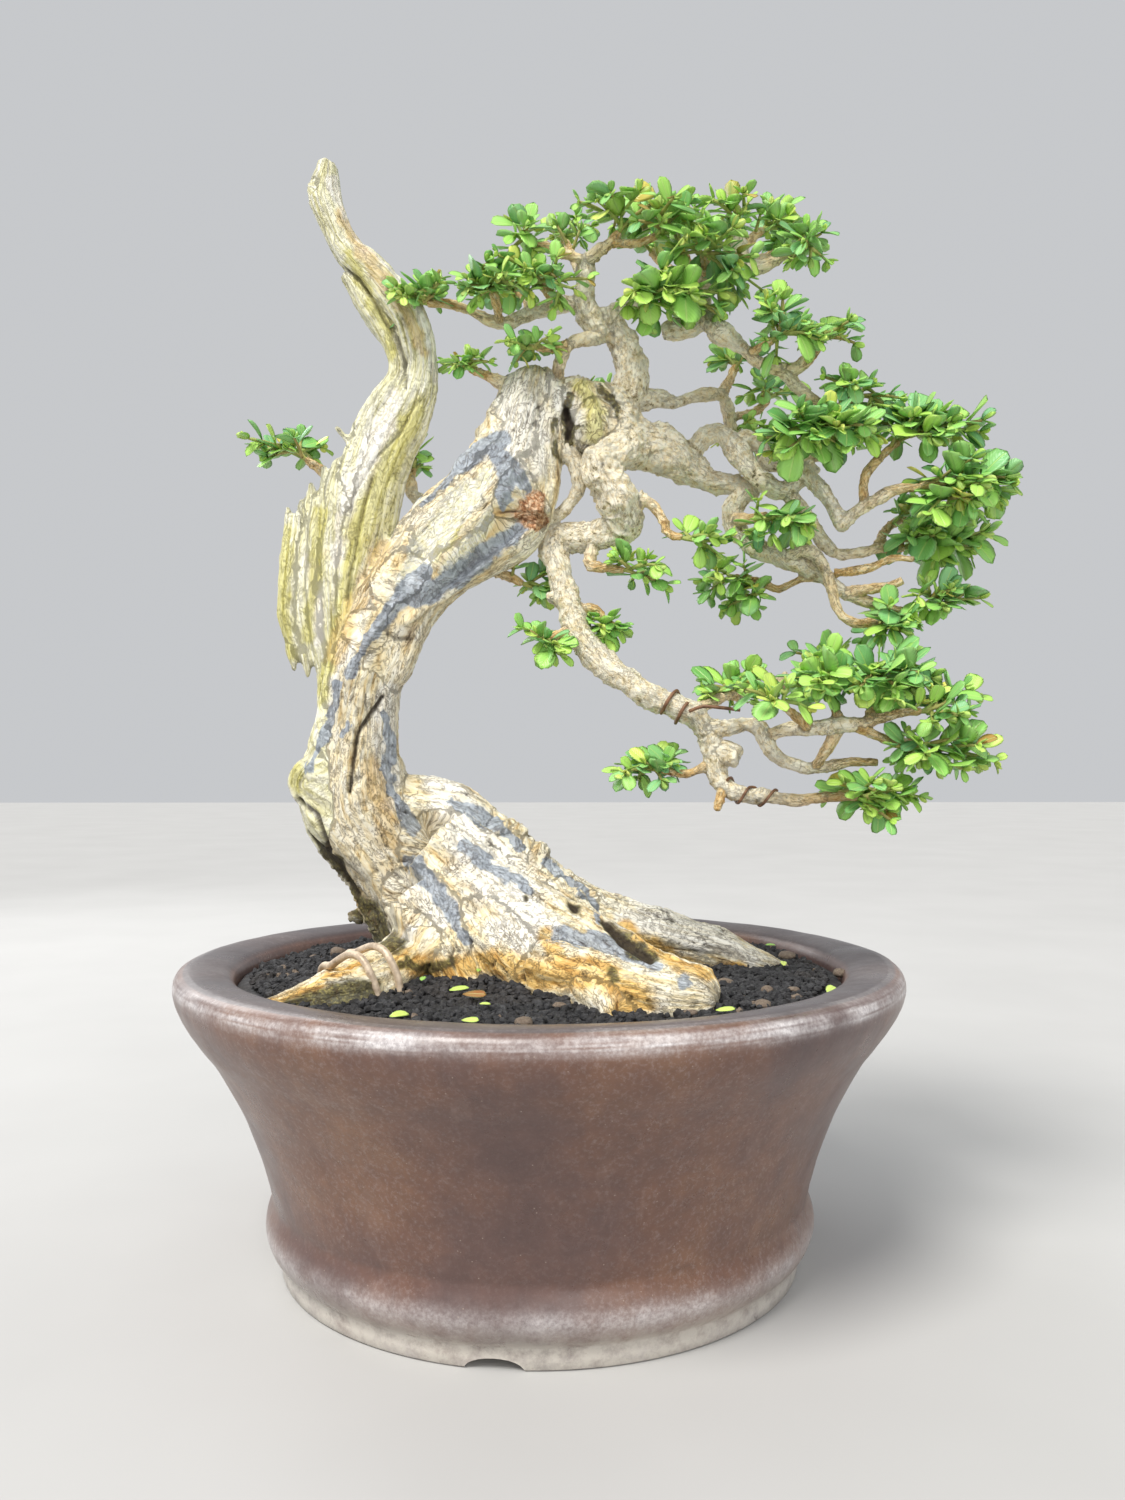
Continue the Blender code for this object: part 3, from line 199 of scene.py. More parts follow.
DEADWOOD = {
    "jin": [
        (-82, 250, 4, 8), (-82, 277, 5, 11), (-77, 300, 5, 13), (-72.5, 322, 4, 12.5),
        (-66, 341, 3, 11.5), (-58.5, 354, 2.5, 10.5), (-54, 365, 2, 9.2), (-51.8, 375, 2, 8),
        (-52.5, 385, 2, 8), (-57, 398.5, 3, 8), (-67, 412, 4, 8.1), (-76, 421, 5, 7.5),
        (-84, 429.5, 6, 6.9), (-89.5, 441, 6, 6.4), (-93, 451, 6, 7), (-92.7, 458, 6, 5.8),
        (-92.3, 463, 6, 4.6)],
    "jin_ridge": [
        (-84.5, 418, 5, 2.6), (-77, 408.7, 5, 4.8), (-69.5, 397, 4, 5), (-64, 386, 4, 3.6),
        (-62, 375, 3, 4), (-66, 366, 2, 5.5), (-71, 357, 2, 7), (-75, 345, 2, 8), (-79, 328, 3, 10)],
    "jin_spur": [(-92, 452, 6, 4), (-98, 454.5, 5, 3)],
    "plate_right": [
        (-84.5, 337, 3, 5), (-86, 322, 3, 8.5), (-88, 300, 4, 9.5), (-88, 275, 4, 9), (-87, 252, 4, 7.5),
        (-86, 234, 3, 6)],
    "plate_middle": [
        (-94, 320, 3, 4), (-95, 305, 4, 7), (-95, 285, 5, 8), (-94, 264, 5, 7), (-91, 246, 4, 5.5),
        (-91, 231, 3, 5), (-88, 216, 2, 5)],
    "plate_left": [
        (-105, 313, 4, 3.5), (-106, 300, 5, 5.5), (-107, 284, 5, 6), (-108, 270, 5, 4.5),
        (-106, 259, 5, 3.5), (-103, 252, 5, 2)],
    "plate_link": [(-94, 296, 4, 6), (-104, 290, 5, 5)],
    "ear": [(-94, 208, 4, 6), (-102, 203, 2, 5), (-103.5, 196, 2, 5), (-96, 189, 4, 6)],
    "dead_twig": [(-76, 336, 4, 2.4), (-84, 346, 2, 1.8), (-88, 351, 0, 1.5)],
}
LIMBS = {
    "leader": [
        (30, 352, 8, 9), (35.5, 363, 9, 7.6), (38.5, 376, 9, 6.7), (36, 386, 8, 6.3),
        (31, 395.5, 6, 5.8), (28.5, 404, 4, 5.3)],
    "leader_left": [
        (28, 391, 6, 5.5), (22, 398.5, 4, 5.6), (18.5, 407, 1, 4.6), (19.4, 416.5, -3, 3.9),
        (19, 424.5, -6, 3.2)],
    "left_arm": [
        (21, 406, 2, 3.8), (8, 405, 3, 3.2), (-4, 401.5, 3, 3), (-14, 397, 2, 2.8), (-22, 398, 0, 2.6),
        (-30, 402, -2, 2.2), (-40, 405, -3, 1.9), (-49, 405, -4, 1.6)],
    "apex_right": [
        (30, 400, 5, 4.5), (43, 409, 8, 3.8), (58, 414, 10, 3.6), (73, 417, 8, 3.6), (86, 420, 5, 4.2),
        (86, 430, 2, 3.4), (85, 439, -2, 2.2)],
    "stubby_arm": [(88, 421, 4, 3.6), (98, 423, 0, 2.6), (107, 428, -4, 2.4), (114, 432, -7, 1.8)],
    "hanging_right": [
        (73, 417, 8, 2.8), (71, 407, 2, 2.8), (73, 399, -4, 3), (79, 392, -7, 5.5), (87, 386.5, -8, 3),
        (94, 380.5, -9, 2.7), (103, 377.5, -10, 2.6), (110, 377.5, -10, 2.6), (117, 383, -11, 2),
        (122, 389, -12, 1.7)],
    "cut_stub": [(72, 400, -3, 3), (65, 395.5, -4, 4.4), (57, 394, -4, 4.2), (53, 393, -4, 3)],
    "rough_arm": [
        (105, 377.5, -10, 2.8), (112, 369, -8, 2.8), (120, 363.5, -6, 2.4), (129, 361, -4, 2.1),
        (135, 365, -6, 1.8)],
    "arch": [
        (28, 390, 6, 3), (20, 390, -2, 2.8), (13, 388, -5, 2.7), (9, 382, -4, 2.6), (7.5, 374, 2, 2.5),
        (8, 366, 6, 3)],
    "back_arm": [
        (40, 362, 10, 4.6), (51, 364.5, 13, 4), (59, 363, 17, 3), (69, 366, 22, 2.6), (78, 366, 28, 2.6),
        (81, 360, 32, 2.6), (83, 352, 36, 2.4), (88, 347, 38, 1.9)],
    "rear_branch": [(24, 352, 18, 6), (30, 350, 36, 4.6), (30, 355, 52, 3.4), (22, 361, 66, 2.4)],
    "right_arch": [
        (63, 338, 9, 4.6), (69, 346, 9, 4.2), (76, 350, 7, 4.2), (82, 346, 3, 4.2), (86, 340, -1, 4.6),
        (91, 334, -4, 4.8), (97, 328, -6, 4.8), (105, 325, -7, 4.3), (112, 329, -8, 3.8),
        (119, 336, -9, 3.4)],
    "knob_arm": [
        (84, 345, 2, 3.6), (90, 347, 3, 3.6), (96, 343, 3, 3.4), (98, 337, 3, 3.2), (106, 336.5, 4, 3),
        (113, 338, 5, 2.6), (121, 340, 6, 2.4), (131, 344, 4, 2.2), (140, 350, 2, 1.8)],
    "white_elbow": [
        (110, 335, -9, 3.6), (118, 329, -12, 3.5), (125, 321, -14, 3.3), (130, 312, -16, 3.2),
        (131, 310, -17, 3), (137, 316, -19, 2.8), (146, 321, -21, 2.6), (153, 325, -22, 2.4),
        (164, 326.5, -23, 2), (176, 329, -24, 1.6)],
    "elbow_twig": [(140, 318, -20, 2.2), (140.5, 330, -18, 2), (146, 338, -14, 1.9), (155, 346, -10, 1.7)],
    "long_arm": [
        (107, 324, -7, 3.6), (112, 318, -6, 3.3), (118, 309, -4, 3.1), (124, 301, -2, 2.9),
        (129, 297, -1, 2.8), (138, 298, 0, 2.6), (148, 300, 2, 2.2), (157, 300, 4, 1.8)],
    "grey_arm": [
        (90, 325, 4, 3.8), (84, 318, 6, 3.9), (83, 311.5, 7, 4), (88, 304, 6, 4.3), (97, 298, 4, 4.6),
        (107, 294, 2, 4.2), (116, 290, 0, 3.6), (124, 286, -2, 3.3), (130, 281, -3, 3),
        (138, 277.5, -4, 2.6), (147, 275.5, -5, 2.2), (157, 273, -6, 1.9), (167, 274, -7, 1.6)],
    "grey_loop": [
        (108, 296, 0, 2.8), (114, 299, -4, 2.7), (120, 296, -7, 2.7), (124, 289, -9, 2.6),
        (126, 282, -10, 2.5), (128, 275, -11, 2.4), (131, 270, -12, 2.3), (137, 267, -13, 2.1),
        (146, 268.5, -14, 1.8)],
    "grey_left": [
        (120, 287.5, -2, 2.2), (112, 286, 4, 2), (103, 282, 9, 1.9), (95, 285, 13, 1.8),
        (84, 286.5, 16, 1.6)],
    "grey_stub": [(130, 280, -3, 2.6), (142, 282, -8, 2.2), (152, 284, -12, 2.2), (157, 286, -14, 2.2)],
    "grey_twig": [(127, 289, -5, 2), (142, 291, -9, 1.8), (152, 295, -12, 1.7), (162, 295, -14, 1.6)],
    "grey_nub": [(84, 312, 3, 2.6), (92, 312.5, -4, 2.1), (98, 314, -9, 1.8)],
    "low_branch": [
        (43, 346, 6, 9), (32, 340, -6, 8.8), (26, 337, -10, 8.8), (28, 330, -12, 9), (33, 322, -11, 8.6),
        (36, 314, -8, 8.2), (32, 308, -5, 7.4), (23, 304.5, -2, 6.6), (13, 304, 0, 6.2),
        (6, 303, -1, 6.2), (6, 296, -4, 6), (9, 285, -8, 5.7), (12.5, 272, -13, 5.6),
        (20, 257, -20, 5.6), (31, 246, -26, 5.6), (44, 236, -31, 5.4), (56, 231, -35, 5.2),
        (66, 227, -37, 5.2), (71, 220, -37, 5.2)],
    "ring": [
        (10, 342, -2, 4), (15, 335, -3, 3.2), (16, 326, -3, 2.9), (12, 318, -3, 2.9), (4, 312, -4, 3),
        (-4, 312, -5, 4)],
    "low_swan": [
        (70, 222, -37, 4.2), (79, 222, -39, 3.8), (88, 223, -41, 3.6), (94, 221.5, -42, 3.6),
        (97, 216, -43, 3.6), (101, 210, -43, 3.4), (111, 205.5, -42, 3.2), (120, 204.5, -41, 3),
        (133, 207, -40, 2.4), (146, 207, -40, 1.8)],
    "low_top": [
        (64, 228, -37, 2.8), (73, 232.5, -33, 2.6), (81, 236, -29, 2.6), (88, 237.5, -26, 2.4),
        (99, 239, -24, 2.4), (107, 244, -23, 2.8)],
    "low_keel": [
        (71, 221, -37, 5.2), (75, 211, -37, 5), (76, 202, -37, 4.2), (81, 196, -38, 3.6),
        (89, 192.5, -39, 3.3), (99, 192, -40, 3), (112, 190.5, -41, 2.6), (125, 192, -42, 2.2),
        (137, 192, -43, 1.7)],
    "low_knuckle": [(75, 212, -37, 5), (85, 209.5, -40, 4.6)],
    "low_brown": [
        (97, 218, -43, 2.6), (107, 221.5, -46, 3), (118, 222, -48, 3.2), (129, 223, -49, 3.4),
        (142, 224.5, -50, 2.6), (155, 228, -51, 2.2), (165, 229, -52, 1.7)],
    "low_bridge": [(129, 222, -48, 2.6), (124, 213, -45, 2.4), (119, 206, -43, 2.4)],
    "low_spur": [(138, 222, -50, 2.2), (150, 217, -50, 2), (161, 215.5, -50, 1.7)],
    "low_left": [(74, 206, -37, 2.6), (62, 202, -36, 2), (52, 203.5, -35, 1.6)],
}

# Twigs, each ending where a leafy spray begins.
TWIGS = {
    "crown_a": [(19, 424, -6, 2.6), (8, 428, -9, 2.2), (-1, 431, -12, 1.9), (-7, 433, -14, 1.6)],
    "crown_c": [(18, 419, -4, 2.8), (14, 426, 10, 2), (11, 432, 22, 1.6)],
    "crown_d": [(19, 424, -6, 2.8), (26, 429, -10, 2.5), (31, 433, -13, 2.2), (34, 437, -15, 1.7)],
    "crown_e": [(30, 432, -12, 2), (42, 432, -20, 1.8), (50, 435, -25, 1.6)],
    "crown_f": [(58, 414, 10, 2.6), (54, 422, 24, 2.1), (48, 428, 35, 1.6)],
    "crown_g": [(66, 416, 9, 2.6), (63, 424, 2, 2.2), (60, 431, -3, 1.7)],
    "crown_h": [(86, 429, 2, 2.4), (92, 435, 6, 2), (96, 438, 9, 1.6)],
    "crown_j": [(57, 414, 10, 2.6), (54, 411, -4, 2), (49, 412, -15, 1.6)],
    "crown_l": [(74, 417, 8, 2.6), (73, 425, 22, 2), (72, 431, 32, 1.6)],
    "crown_m": [(74, 417, 7, 2.6), (72, 421, -10, 2.1), (70, 427, -22, 1.6)],
    "crown_n": [(90, 421, 4, 2.8), (98, 426, 16, 2.1), (105, 429, 27, 1.6)],
    "left_a": [(-18, 397, 1, 2.4), (-19, 404, -8, 2), (-21, 410, -14, 1.6)],
    "left_b": [(-4, 401, 3, 2.4), (-6, 407, 12, 2), (-10, 411, 20, 1.6)],
    "left_c": [(8, 405, 3, 2.4), (4, 410, -8, 2), (0, 414, -16, 1.6)],
    "arch_leaf": [(12, 388, -5, 2.2), (4, 386, -11, 1.8), (-2, 386, -15, 1.6)],
    "knob_twig": [(-14, 370, 2, 3), (-24, 374, 0, 2), (-31, 377, -3, 1.6)],
    "hanging_a": [(90, 384, -8, 2.2), (97, 388, -16, 1.9), (101, 390, -20, 1.6)],
    "knob_front": [(131, 344, 4, 2.2), (126, 350, -10, 1.9), (120, 352, -20, 1.6)],
    "long_back": [(146, 300, 2, 2.2), (150, 308, 13, 1.9), (157, 313, 21, 1.6)],
    "low_a": [(129, 224, -49, 2.4), (127, 233, -44, 2), (125, 240, -38, 1.6)],
    "low_b": [(142, 225, -50, 2.4), (144, 235, -44, 2), (147, 243, -37, 1.6)],
    "low_d": [(116, 222, -48, 2.4), (110, 227, -57, 2), (105, 231, -63, 1.6)],
    "low_f": [(97, 239, -24, 2.2), (109, 241, -12, 1.9), (118, 243, -3, 1.6)],
    "low_i": [(84, 235, -29, 2.4), (81, 237, -24, 2), (80, 238, -20, 1.6)],
    "low_h": [(79, 198, -38, 2.4), (77, 190, -40, 1.8), (76, 186, -41, 1.5)],
    "back_a": [(78, 366, 28, 2.4), (82, 373, 36, 2), (84, 378, 42, 1.6)],
    "back_b": [(82, 356, 34, 2.2), (93, 359, 44, 1.8), (98, 364, 49, 1.6)],
    "small_a": [
        (42, 322, -10, 3), (49, 317, -11, 2.3), (53, 311, -13, 2.1), (55, 306, -14, 2),
        (61, 304, -15, 1.6)],
    "small_b": [(23, 302, -4, 3), (21, 293, -7, 2.4), (26, 291, -9, 2), (36, 290, -12, 1.6)],
    "small_c": [(-27, 292, 0, 3), (-14, 287, 2, 2.2), (-8, 284, 4, 1.6)],
    "small_d": [(12, 273, -12, 3), (23, 273, -12, 1.9), (27, 269, -12, 1.6)],
    "small_e": [(15, 265, -16, 3), (8, 262, -20, 2), (4, 260, -22, 1.6)],
    "far_left": [(-84, 324, 8, 3), (-95, 333, 10, 2), (-101, 337, 10, 1.6)],
    "between": [(-38, 313, 8, 4), (-54, 321, 18, 2.8), (-56, 328, 24, 2), (-55, 333, 28, 1.6)],
}

# Leafy sprays: the wood that carries each one, and where its shoots' tips show on the view.
SPRAYS = {
    "crown_a": [(-11, 435, -18), (-3, 438, -7)],
    "crown_c": [(4, 438, 30), (15, 442, 34)],
    "crown_d": [(33, 449, -20), (22, 447, -12), (44, 446, -9)],
    "crown_e": [(51, 447, -33), (62, 441, -30)],
    "crown_f": [(42, 436, 44), (54, 441, 42)],
    "crown_g": [(56, 445, 2), (67, 448, -8)],
    "crown_h": [(101, 447, 14), (108, 440, 6)],
    "crown_j": [(43, 414, -28), (55, 404, -26)],
    "crown_l": [(69, 443, 38), (81, 439, 41)],
    "crown_m": [(66, 435, -34), (79, 431, -31)],
    "crown_n": [(113, 434, 32), (102, 438, 36)],
    "left_a": [(-26, 416, -21), (-14, 415, -24)],
    "left_b": [(-14, 418, 28), (-24, 413, 26), (-3, 419, 24)],
    "left_c": [(-3, 421, -24), (8, 418, -24)],
    "left_arm": [(-56, 409, -6), (-43, 416, 4)],
    "apex_right": [(79, 449, -8), (90, 450, 1)],
    "stubby_arm": [(122, 437, -10), (117, 426, -15)],
    "hanging_right": [(129, 393, -15), (123, 396, -3)],
    "hanging_a": [(107, 395, -27), (113, 398, -32)],
    "arch_leaf": [(-10, 386, -19), (3, 391, -24)],
    "knob_twig": [(-38, 379, -5), (-29, 382, -11)],
    "rough_arm": [(143, 371, -8), (132, 372, -14)],
    "elbow_twig": [(158, 356, -15), (168, 357, -9), (178, 356, -14)],
    "knob_arm": [(145, 358, 8), (137, 358, 14)],
    "knob_front": [(112, 356, -28), (125, 358, -30)],
    "white_elbow": [(185, 335, -27), (193, 329, -23), (182, 322, -33)],
    "long_arm": [(164, 306, 1), (176, 303, 2), (187, 300, -2)],
    "long_back": [(167, 318, 27), (178, 315, 22)],
    "grey_arm": [(176, 277, -7), (184, 280, -11)],
    "grey_loop": [(153, 265, -16), (159, 271, -21)],
    "grey_left": [(79, 290, 20), (86, 280, 24)],
    "grey_nub": [(105, 312, -15), (100, 306, -16)],
    "back_arm": [(94, 344, 43), (85, 352, 47)],
    "back_a": [(79, 384, 46), (91, 384, 48)],
    "back_b": [(105, 368, 54), (96, 372, 58)],
    "rear_branch": [(17, 357, 80), (16, 367, 74), (29, 371, 76), (41, 364, 72)],
    "small_a": [(69, 306, -18), (77, 303, -20)],
    "small_b": [(44, 287, -14), (46, 295, -16)],
    "small_c": [(-3, 286, 8), (2, 282, 12)],
    "small_d": [(29, 266, -14), (27, 260, -20)],
    "small_e": [(-2, 262, -25), (4, 255, -30)],
    "low_a": [(117, 249, -43), (125, 253, -32)],
    "low_b": [(146, 250, -47), (156, 247, -38)],
    "low_d": [(98, 235, -68), (107, 239, -67)],
    "low_f": [(122, 248, 2), (120, 254, 8)],
    "low_i": [(79, 242, -12), (90, 246, -16)],
    "low_brown": [(171, 236, -50), (183, 240, -47), (175, 226, -57)],
    "low_spur": [(171, 215, -49), (182, 210, -51), (172, 205, -55)],
    "low_keel": [(144, 191, -48), (151, 196, -52), (157, 192, -47)],
    "low_left": [(45, 206, -39), (50, 209, -28)],
    "far_left": [(-109, 342, 7), (-119, 344, 5), (-103, 347, 15)],
    "between": [(-53, 342, 33), (-61, 337, 33)],
}

# Leaves and shoots: how many side shoots a tip gets, and each spray's leaf length and how far its side
# shoots reach, in metres, where they differ from the usual.
SIDE_SHOOTS = 3
LEAF_SIZE = {
    "low_b": 0.0135, "low_a": 0.0135, "white_elbow": 0.015, "elbow_twig": 0.015, "knob_front": 0.015,
    "long_arm": 0.0145, "crown_f": 0.013, "crown_j": 0.0135, "crown_m": 0.013, "left_arm": 0.0105,
    "left_a": 0.0105, "left_b": 0.0105, "left_c": 0.0105, "knob_twig": 0.0095, "arch_leaf": 0.01
}
SPREAD = {
    "crown_a": 0.007, "crown_c": 0.008, "crown_d": 0.01, "crown_h": 0.008, "low_b": 0.012,
    "small_d": 0.006, "small_e": 0.006, "small_c": 0.006, "low_left": 0.007, "knob_twig": 0.007,
    "small_a": 0.006
}

# Stones (across, down, radius in mm) and dropped leaves (across, down, turn in degrees, length in mm,
# hue) on the soil in front, across and down being the photograph's pixels, and those behind, by
# their place from the pot's axis in millimetres.
PEBBLES_SEEN = [
    (788, 955, 4.4), (767, 990, 2.7), (763, 1004, 3.4), (794, 987, 2.5), (841, 972, 3.4), (725, 982, 3.4),
    (535, 988, 3.6), (524, 1020, 3.4), (690, 1012, 2.4), (560, 1006, 2.2)
]
PEBBLES_BEHIND = [
    (-92, 30, 3.6), (30, 92, 3.8), (-40, 96, 3.4), (74, 72, 3.2), (112, 30, 3.2)
]
FALLEN_SEEN = [
    (450, 997, 25, 8, 0.8), (463, 1001, -12, 9, 1.0), (391, 1018, 42, 8, 0.84), (478, 984, 80, 4, 0.55),
    (422, 990, 84, 5, 0.45), (480, 1010, 0, 4, 0.84), (716, 1014, 6, 7, 0.84), (828, 994, 58, 8, 0.84),
    (766, 950, 10, 5, 0.5), (784, 968, 80, 6, 0.88), (462, 1026, -14, 6, 0.84)
]
FALLEN_BEHIND = [
    (-70, 80, 30, 9, 0.84), (60, 96, 110, 8, 0.7), (12, 104, 10, 7, 0.9)
]

# Forms that only the finer wood has: fills and torn edges of the deadwood's plates, flanks that widen
# the roots at the soil, and lumps.
FILLS = {
    "left_web": [
        (-99, 311, 5, 3.5), (-100.5, 300, 5, 5.5), (-101, 285, 5, 6.2), (-100.5, 268, 5, 5.4),
        (-98, 252, 5, 3.6)],
    "middle_web": [(-91, 320, 5, 4.5), (-91.5, 300, 4.5, 8), (-91.5, 275, 4.5, 8), (-89, 250, 4, 6.2)],
    "splinter_a": [(-108, 294, 5, 3.0), (-108.5, 308, 4, 2.4), (-109, 316, 4, 1.2)],
    "splinter_b": [(-103, 298, 5, 3.4), (-103, 311, 4, 2.8), (-102.5, 319, 4, 1.2)],
    "splinter_c": [(-98, 302, 4, 3.4), (-98.5, 316, 4, 3.0), (-99, 326, 4, 1.2)],
    "splinter_d": [(-92, 310, 4, 4.6), (-92.5, 324, 4, 3.0), (-93, 334, 4, 1.2)],
    "tear_a": [(-106, 274, 7, 3.4), (-107, 258, 5, 3.0), (-106, 247, 4, 1.2)],
    "tear_b": [(-100, 274, 7, 3.4), (-101, 256, 5, 3.2), (-100, 244, 4, 1.4)],
}
FLANKS = {
    "left_flank": [
        (-52, 124, -26, 8), (-66, 113.5, -50, 9), (-80, 107, -68, 11), (-94, 105, -72, 10.5),
        (-106, 103.5, -70, 7), (-114, 103, -66, 3.6)],
    "left_toe": [(-96, 110, -62, 5), (-107, 106, -64, 3.6), (-117, 103.5, -64, 2.6)],
    "front_flank": [
        (2, 118, -56, 13), (22, 112, -74, 13), (38, 107, -85, 12.5), (54, 103.5, -89, 12),
        (66, 103, -87, 9)],
    "front_toe": [(20, 108, -80, 9), (27, 101, -92, 7), (30, 96, -98, 4)],
}
LUMPS = [
    (17, 364, -3, 9.0), (21, 352, -4, 9.5), (13, 349, -3, 7.0), (-15, 178, 5, 5.4), (-10, 177, 3, 4.4),
    (-7, 171, 4, 4.8), (-1, 168, 4, 5.0), (3, 162, 5, 4.4), (-12, 171, 1, 4.4), (-52, 128, -22, 7),
    (-70, 262, -9, 4), (-57, 284, -12, 4)
]

# Shoots beside the drawn tips of a spray.
MORE_TIPS = {
    "left_arm": [(-44, 414, -12), (-58, 409, -10)],
    "left_a": [(-30, 418, -16), (-24, 412, -20)],
    "left_c": [(-11, 424, -20), (14, 412, -28)],
    "crown_m": [(87, 416, -20), (96, 412, -14)],
    "hanging_a": [(97, 402, -22), (105, 408, -18)],
    "crown_j": [(66, 408, -28), (76, 404, -22), (47, 406, -30)],
    "knob_front": [(104, 350, -30), (118, 346, -34), (134, 350, -32), (144, 348, -26)],
    "rough_arm": [(150, 362, -10)],
    "elbow_twig": [(170, 350, -20), (184, 351, -12)],
    "white_elbow": [(198, 325, -20), (173, 331, -28), (176, 318, -30)],
    "long_arm": [(180, 311, -6), (191, 307, -8)],
    "grey_nub": [(110, 306, -14)],
    "grey_left": [(92, 274, 18), (76, 284, 22)],
    "grey_loop": [(147, 262, -18)],
    "grey_arm": [(168, 284, -10)],
    "low_a": [(112, 240, -50), (124, 238, -55)],
    "low_b": [(138, 240, -58), (150, 236, -56), (160, 240, -46)],
    "low_i": [(84, 238, -38)],
    "low_spur": [(164, 208, -54), (189, 207, -48)],
    "low_keel": [(131, 198, -50), (140, 187, -50)],
    "low_left": [(35, 203, -42)],
}

# Branches that get a collar on the trunk's skin, so that they grow out of it.
COLLARS = (
    "leader", "low_branch", "rear_branch", "right_arch", "back_arm", "ring", "small_c", "knob_twig",
    "far_left", "between"
)

# Strokes on the front of the thick wood, as (across, down, half width) in the photograph's pixels.
PASTE = [
    [(421, 503, 4), (432, 489, 6), (448, 474, 8), (466, 460, 9), (486, 446, 9), (503, 436, 8)],
    [(494, 448, 8), (505, 462, 11), (511, 478, 12), (503, 492, 8), (505, 502, 6)],
    [(514, 474, 8), (524, 482, 8), (530, 492, 5)],
    [(525, 526, 6), (508, 539, 10), (488, 551, 11), (464, 570, 12), (440, 586, 11), (418, 600, 9)],
    [(425, 572, 8), (404, 596, 10), (388, 616, 8), (374, 632, 6), (362, 650, 4), (352, 676, 4)],
    [(339, 682, 4), (335, 702, 5), (329, 728, 4), (318, 752, 4), (309, 770, 3)],
    [(349, 722, 3), (341, 736, 3)],
    [(383, 713, 3), (392, 742, 6), (387, 770, 6), (392, 792, 5), (402, 806, 6), (415, 829, 7)],
    [(453, 801, 5), (472, 814, 7), (493, 822, 6), (510, 834, 5), (520, 847, 4)],
    [(466, 846, 7), (491, 866, 7), (514, 879, 6), (533, 891, 4)],
    [(411, 859, 8), (434, 886, 10), (453, 913, 7), (468, 940, 7)],
    [(545, 863, 5), (575, 886, 4), (593, 902, 5), (599, 922, 4)],
    [(560, 936, 9), (591, 940, 9), (618, 948, 7), (656, 967, 5)],
    [(684, 984, 9)],
]
PALE_WOUND = [
    [(486, 472, 7), (472, 490, 14), (452, 512, 16), (432, 538, 17), (416, 566, 14), (404, 590, 7)],
    [(490, 518, 7), (470, 545, 9), (446, 574, 8)],
]
# Olive tint on the deadwood, which along the jin's grooves and its right side is also painted shade.
OLIVE_AND_SHADE = [
    [(484, 474, 5), (470, 492, 7), (455, 505, 4)],
    [(452, 524, 3), (440, 530, 5), (433, 536, 3)],
    [(462, 528, 3), (446, 548, 4), (434, 562, 3)],
    [(418, 400, 8), (410, 425, 10), (398, 450, 12), (384, 478, 13), (368, 505, 14), (356, 535, 12)],
    [(352, 560, 8), (346, 590, 8), (340, 620, 8), (330, 660, 6), (322, 700, 6)],
    [(286, 530, 7), (281, 600, 9), (288, 655, 8)],
    [(320, 515, 7), (312, 600, 6), (306, 640, 6)],
    [(368, 500, 8), (356, 550, 8)],
    [(296, 770, 8), (300, 790, 6)],
    [(582, 384, 8), (596, 404, 10), (594, 434, 10)],
    [(346, 252, 5), (368, 292, 6), (385, 325, 5), (392, 356, 4)],
]
OCHRE_STAIN = [
    [(386, 545, 6), (376, 566, 9), (362, 590, 7), (350, 615, 9), (342, 638, 12), (334, 655, 9)],
    [(504, 514, 8), (492, 530, 6), (474, 552, 5)],
    [(338, 212, 5), (354, 238, 7), (374, 266, 8), (398, 296, 9), (415, 328, 8), (424, 352, 5)],
    [(372, 762, 8), (382, 800, 12), (388, 840, 10)],
]
BLEACH = [
    [
        (331, 178, 7), (344, 208, 5), (366, 243, 6), (396, 265, 6), (418, 298, 6), (433, 340, 7),
        (438, 380, 5)],
    [(394, 392, 7), (388, 420, 11), (372, 448, 12), (358, 480, 12), (346, 520, 9), (338, 560, 6)],
    [(484, 486, 6), (464, 512, 8), (443, 530, 8), (430, 550, 8), (416, 575, 6)],
    [(506, 384, 18), (518, 410, 24), (528, 440, 22), (532, 468, 14)],
    [(424, 880, 16), (446, 915, 14)],
    [(500, 930, 14), (556, 934, 12)],
    [(598, 866, 12), (640, 895, 14), (700, 930, 14), (750, 958, 10)],
    [(388, 690, 10), (384, 740, 12), (392, 800, 12)],
    [(356, 640, 4), (340, 670, 4), (330, 700, 4)],
    [(438, 782, 14), (458, 815, 22), (486, 856, 28), (514, 890, 28), (532, 925, 20), (520, 945, 10)],
    [(480, 762, 8), (520, 782, 14), (556, 820, 14), (580, 860, 12)],
    [(548, 380, 10), (612, 470, 12), (640, 440, 10)],
    [(620, 915, 8), (655, 925, 10), (700, 945, 8)],
    [(412, 930, 8), (400, 950, 5)],
    [(318, 640, 5), (316, 600, 6), (310, 560, 5)],
]
ORANGE = [
    [
        (392, 950, 8), (410, 960, 12), (445, 974, 14), (470, 965, 12), (500, 962, 14), (532, 975, 16),
        (570, 972, 16), (606, 974, 14), (640, 1000, 16), (615, 1015, 12)],
    [(622, 922, 5), (650, 944, 7), (676, 962, 8), (705, 972, 8), (745, 970, 6)],
    [(544, 935, 7), (560, 955, 8)],
    [(274, 1001, 5), (300, 992, 5), (334, 974, 5), (362, 963, 4)],
]
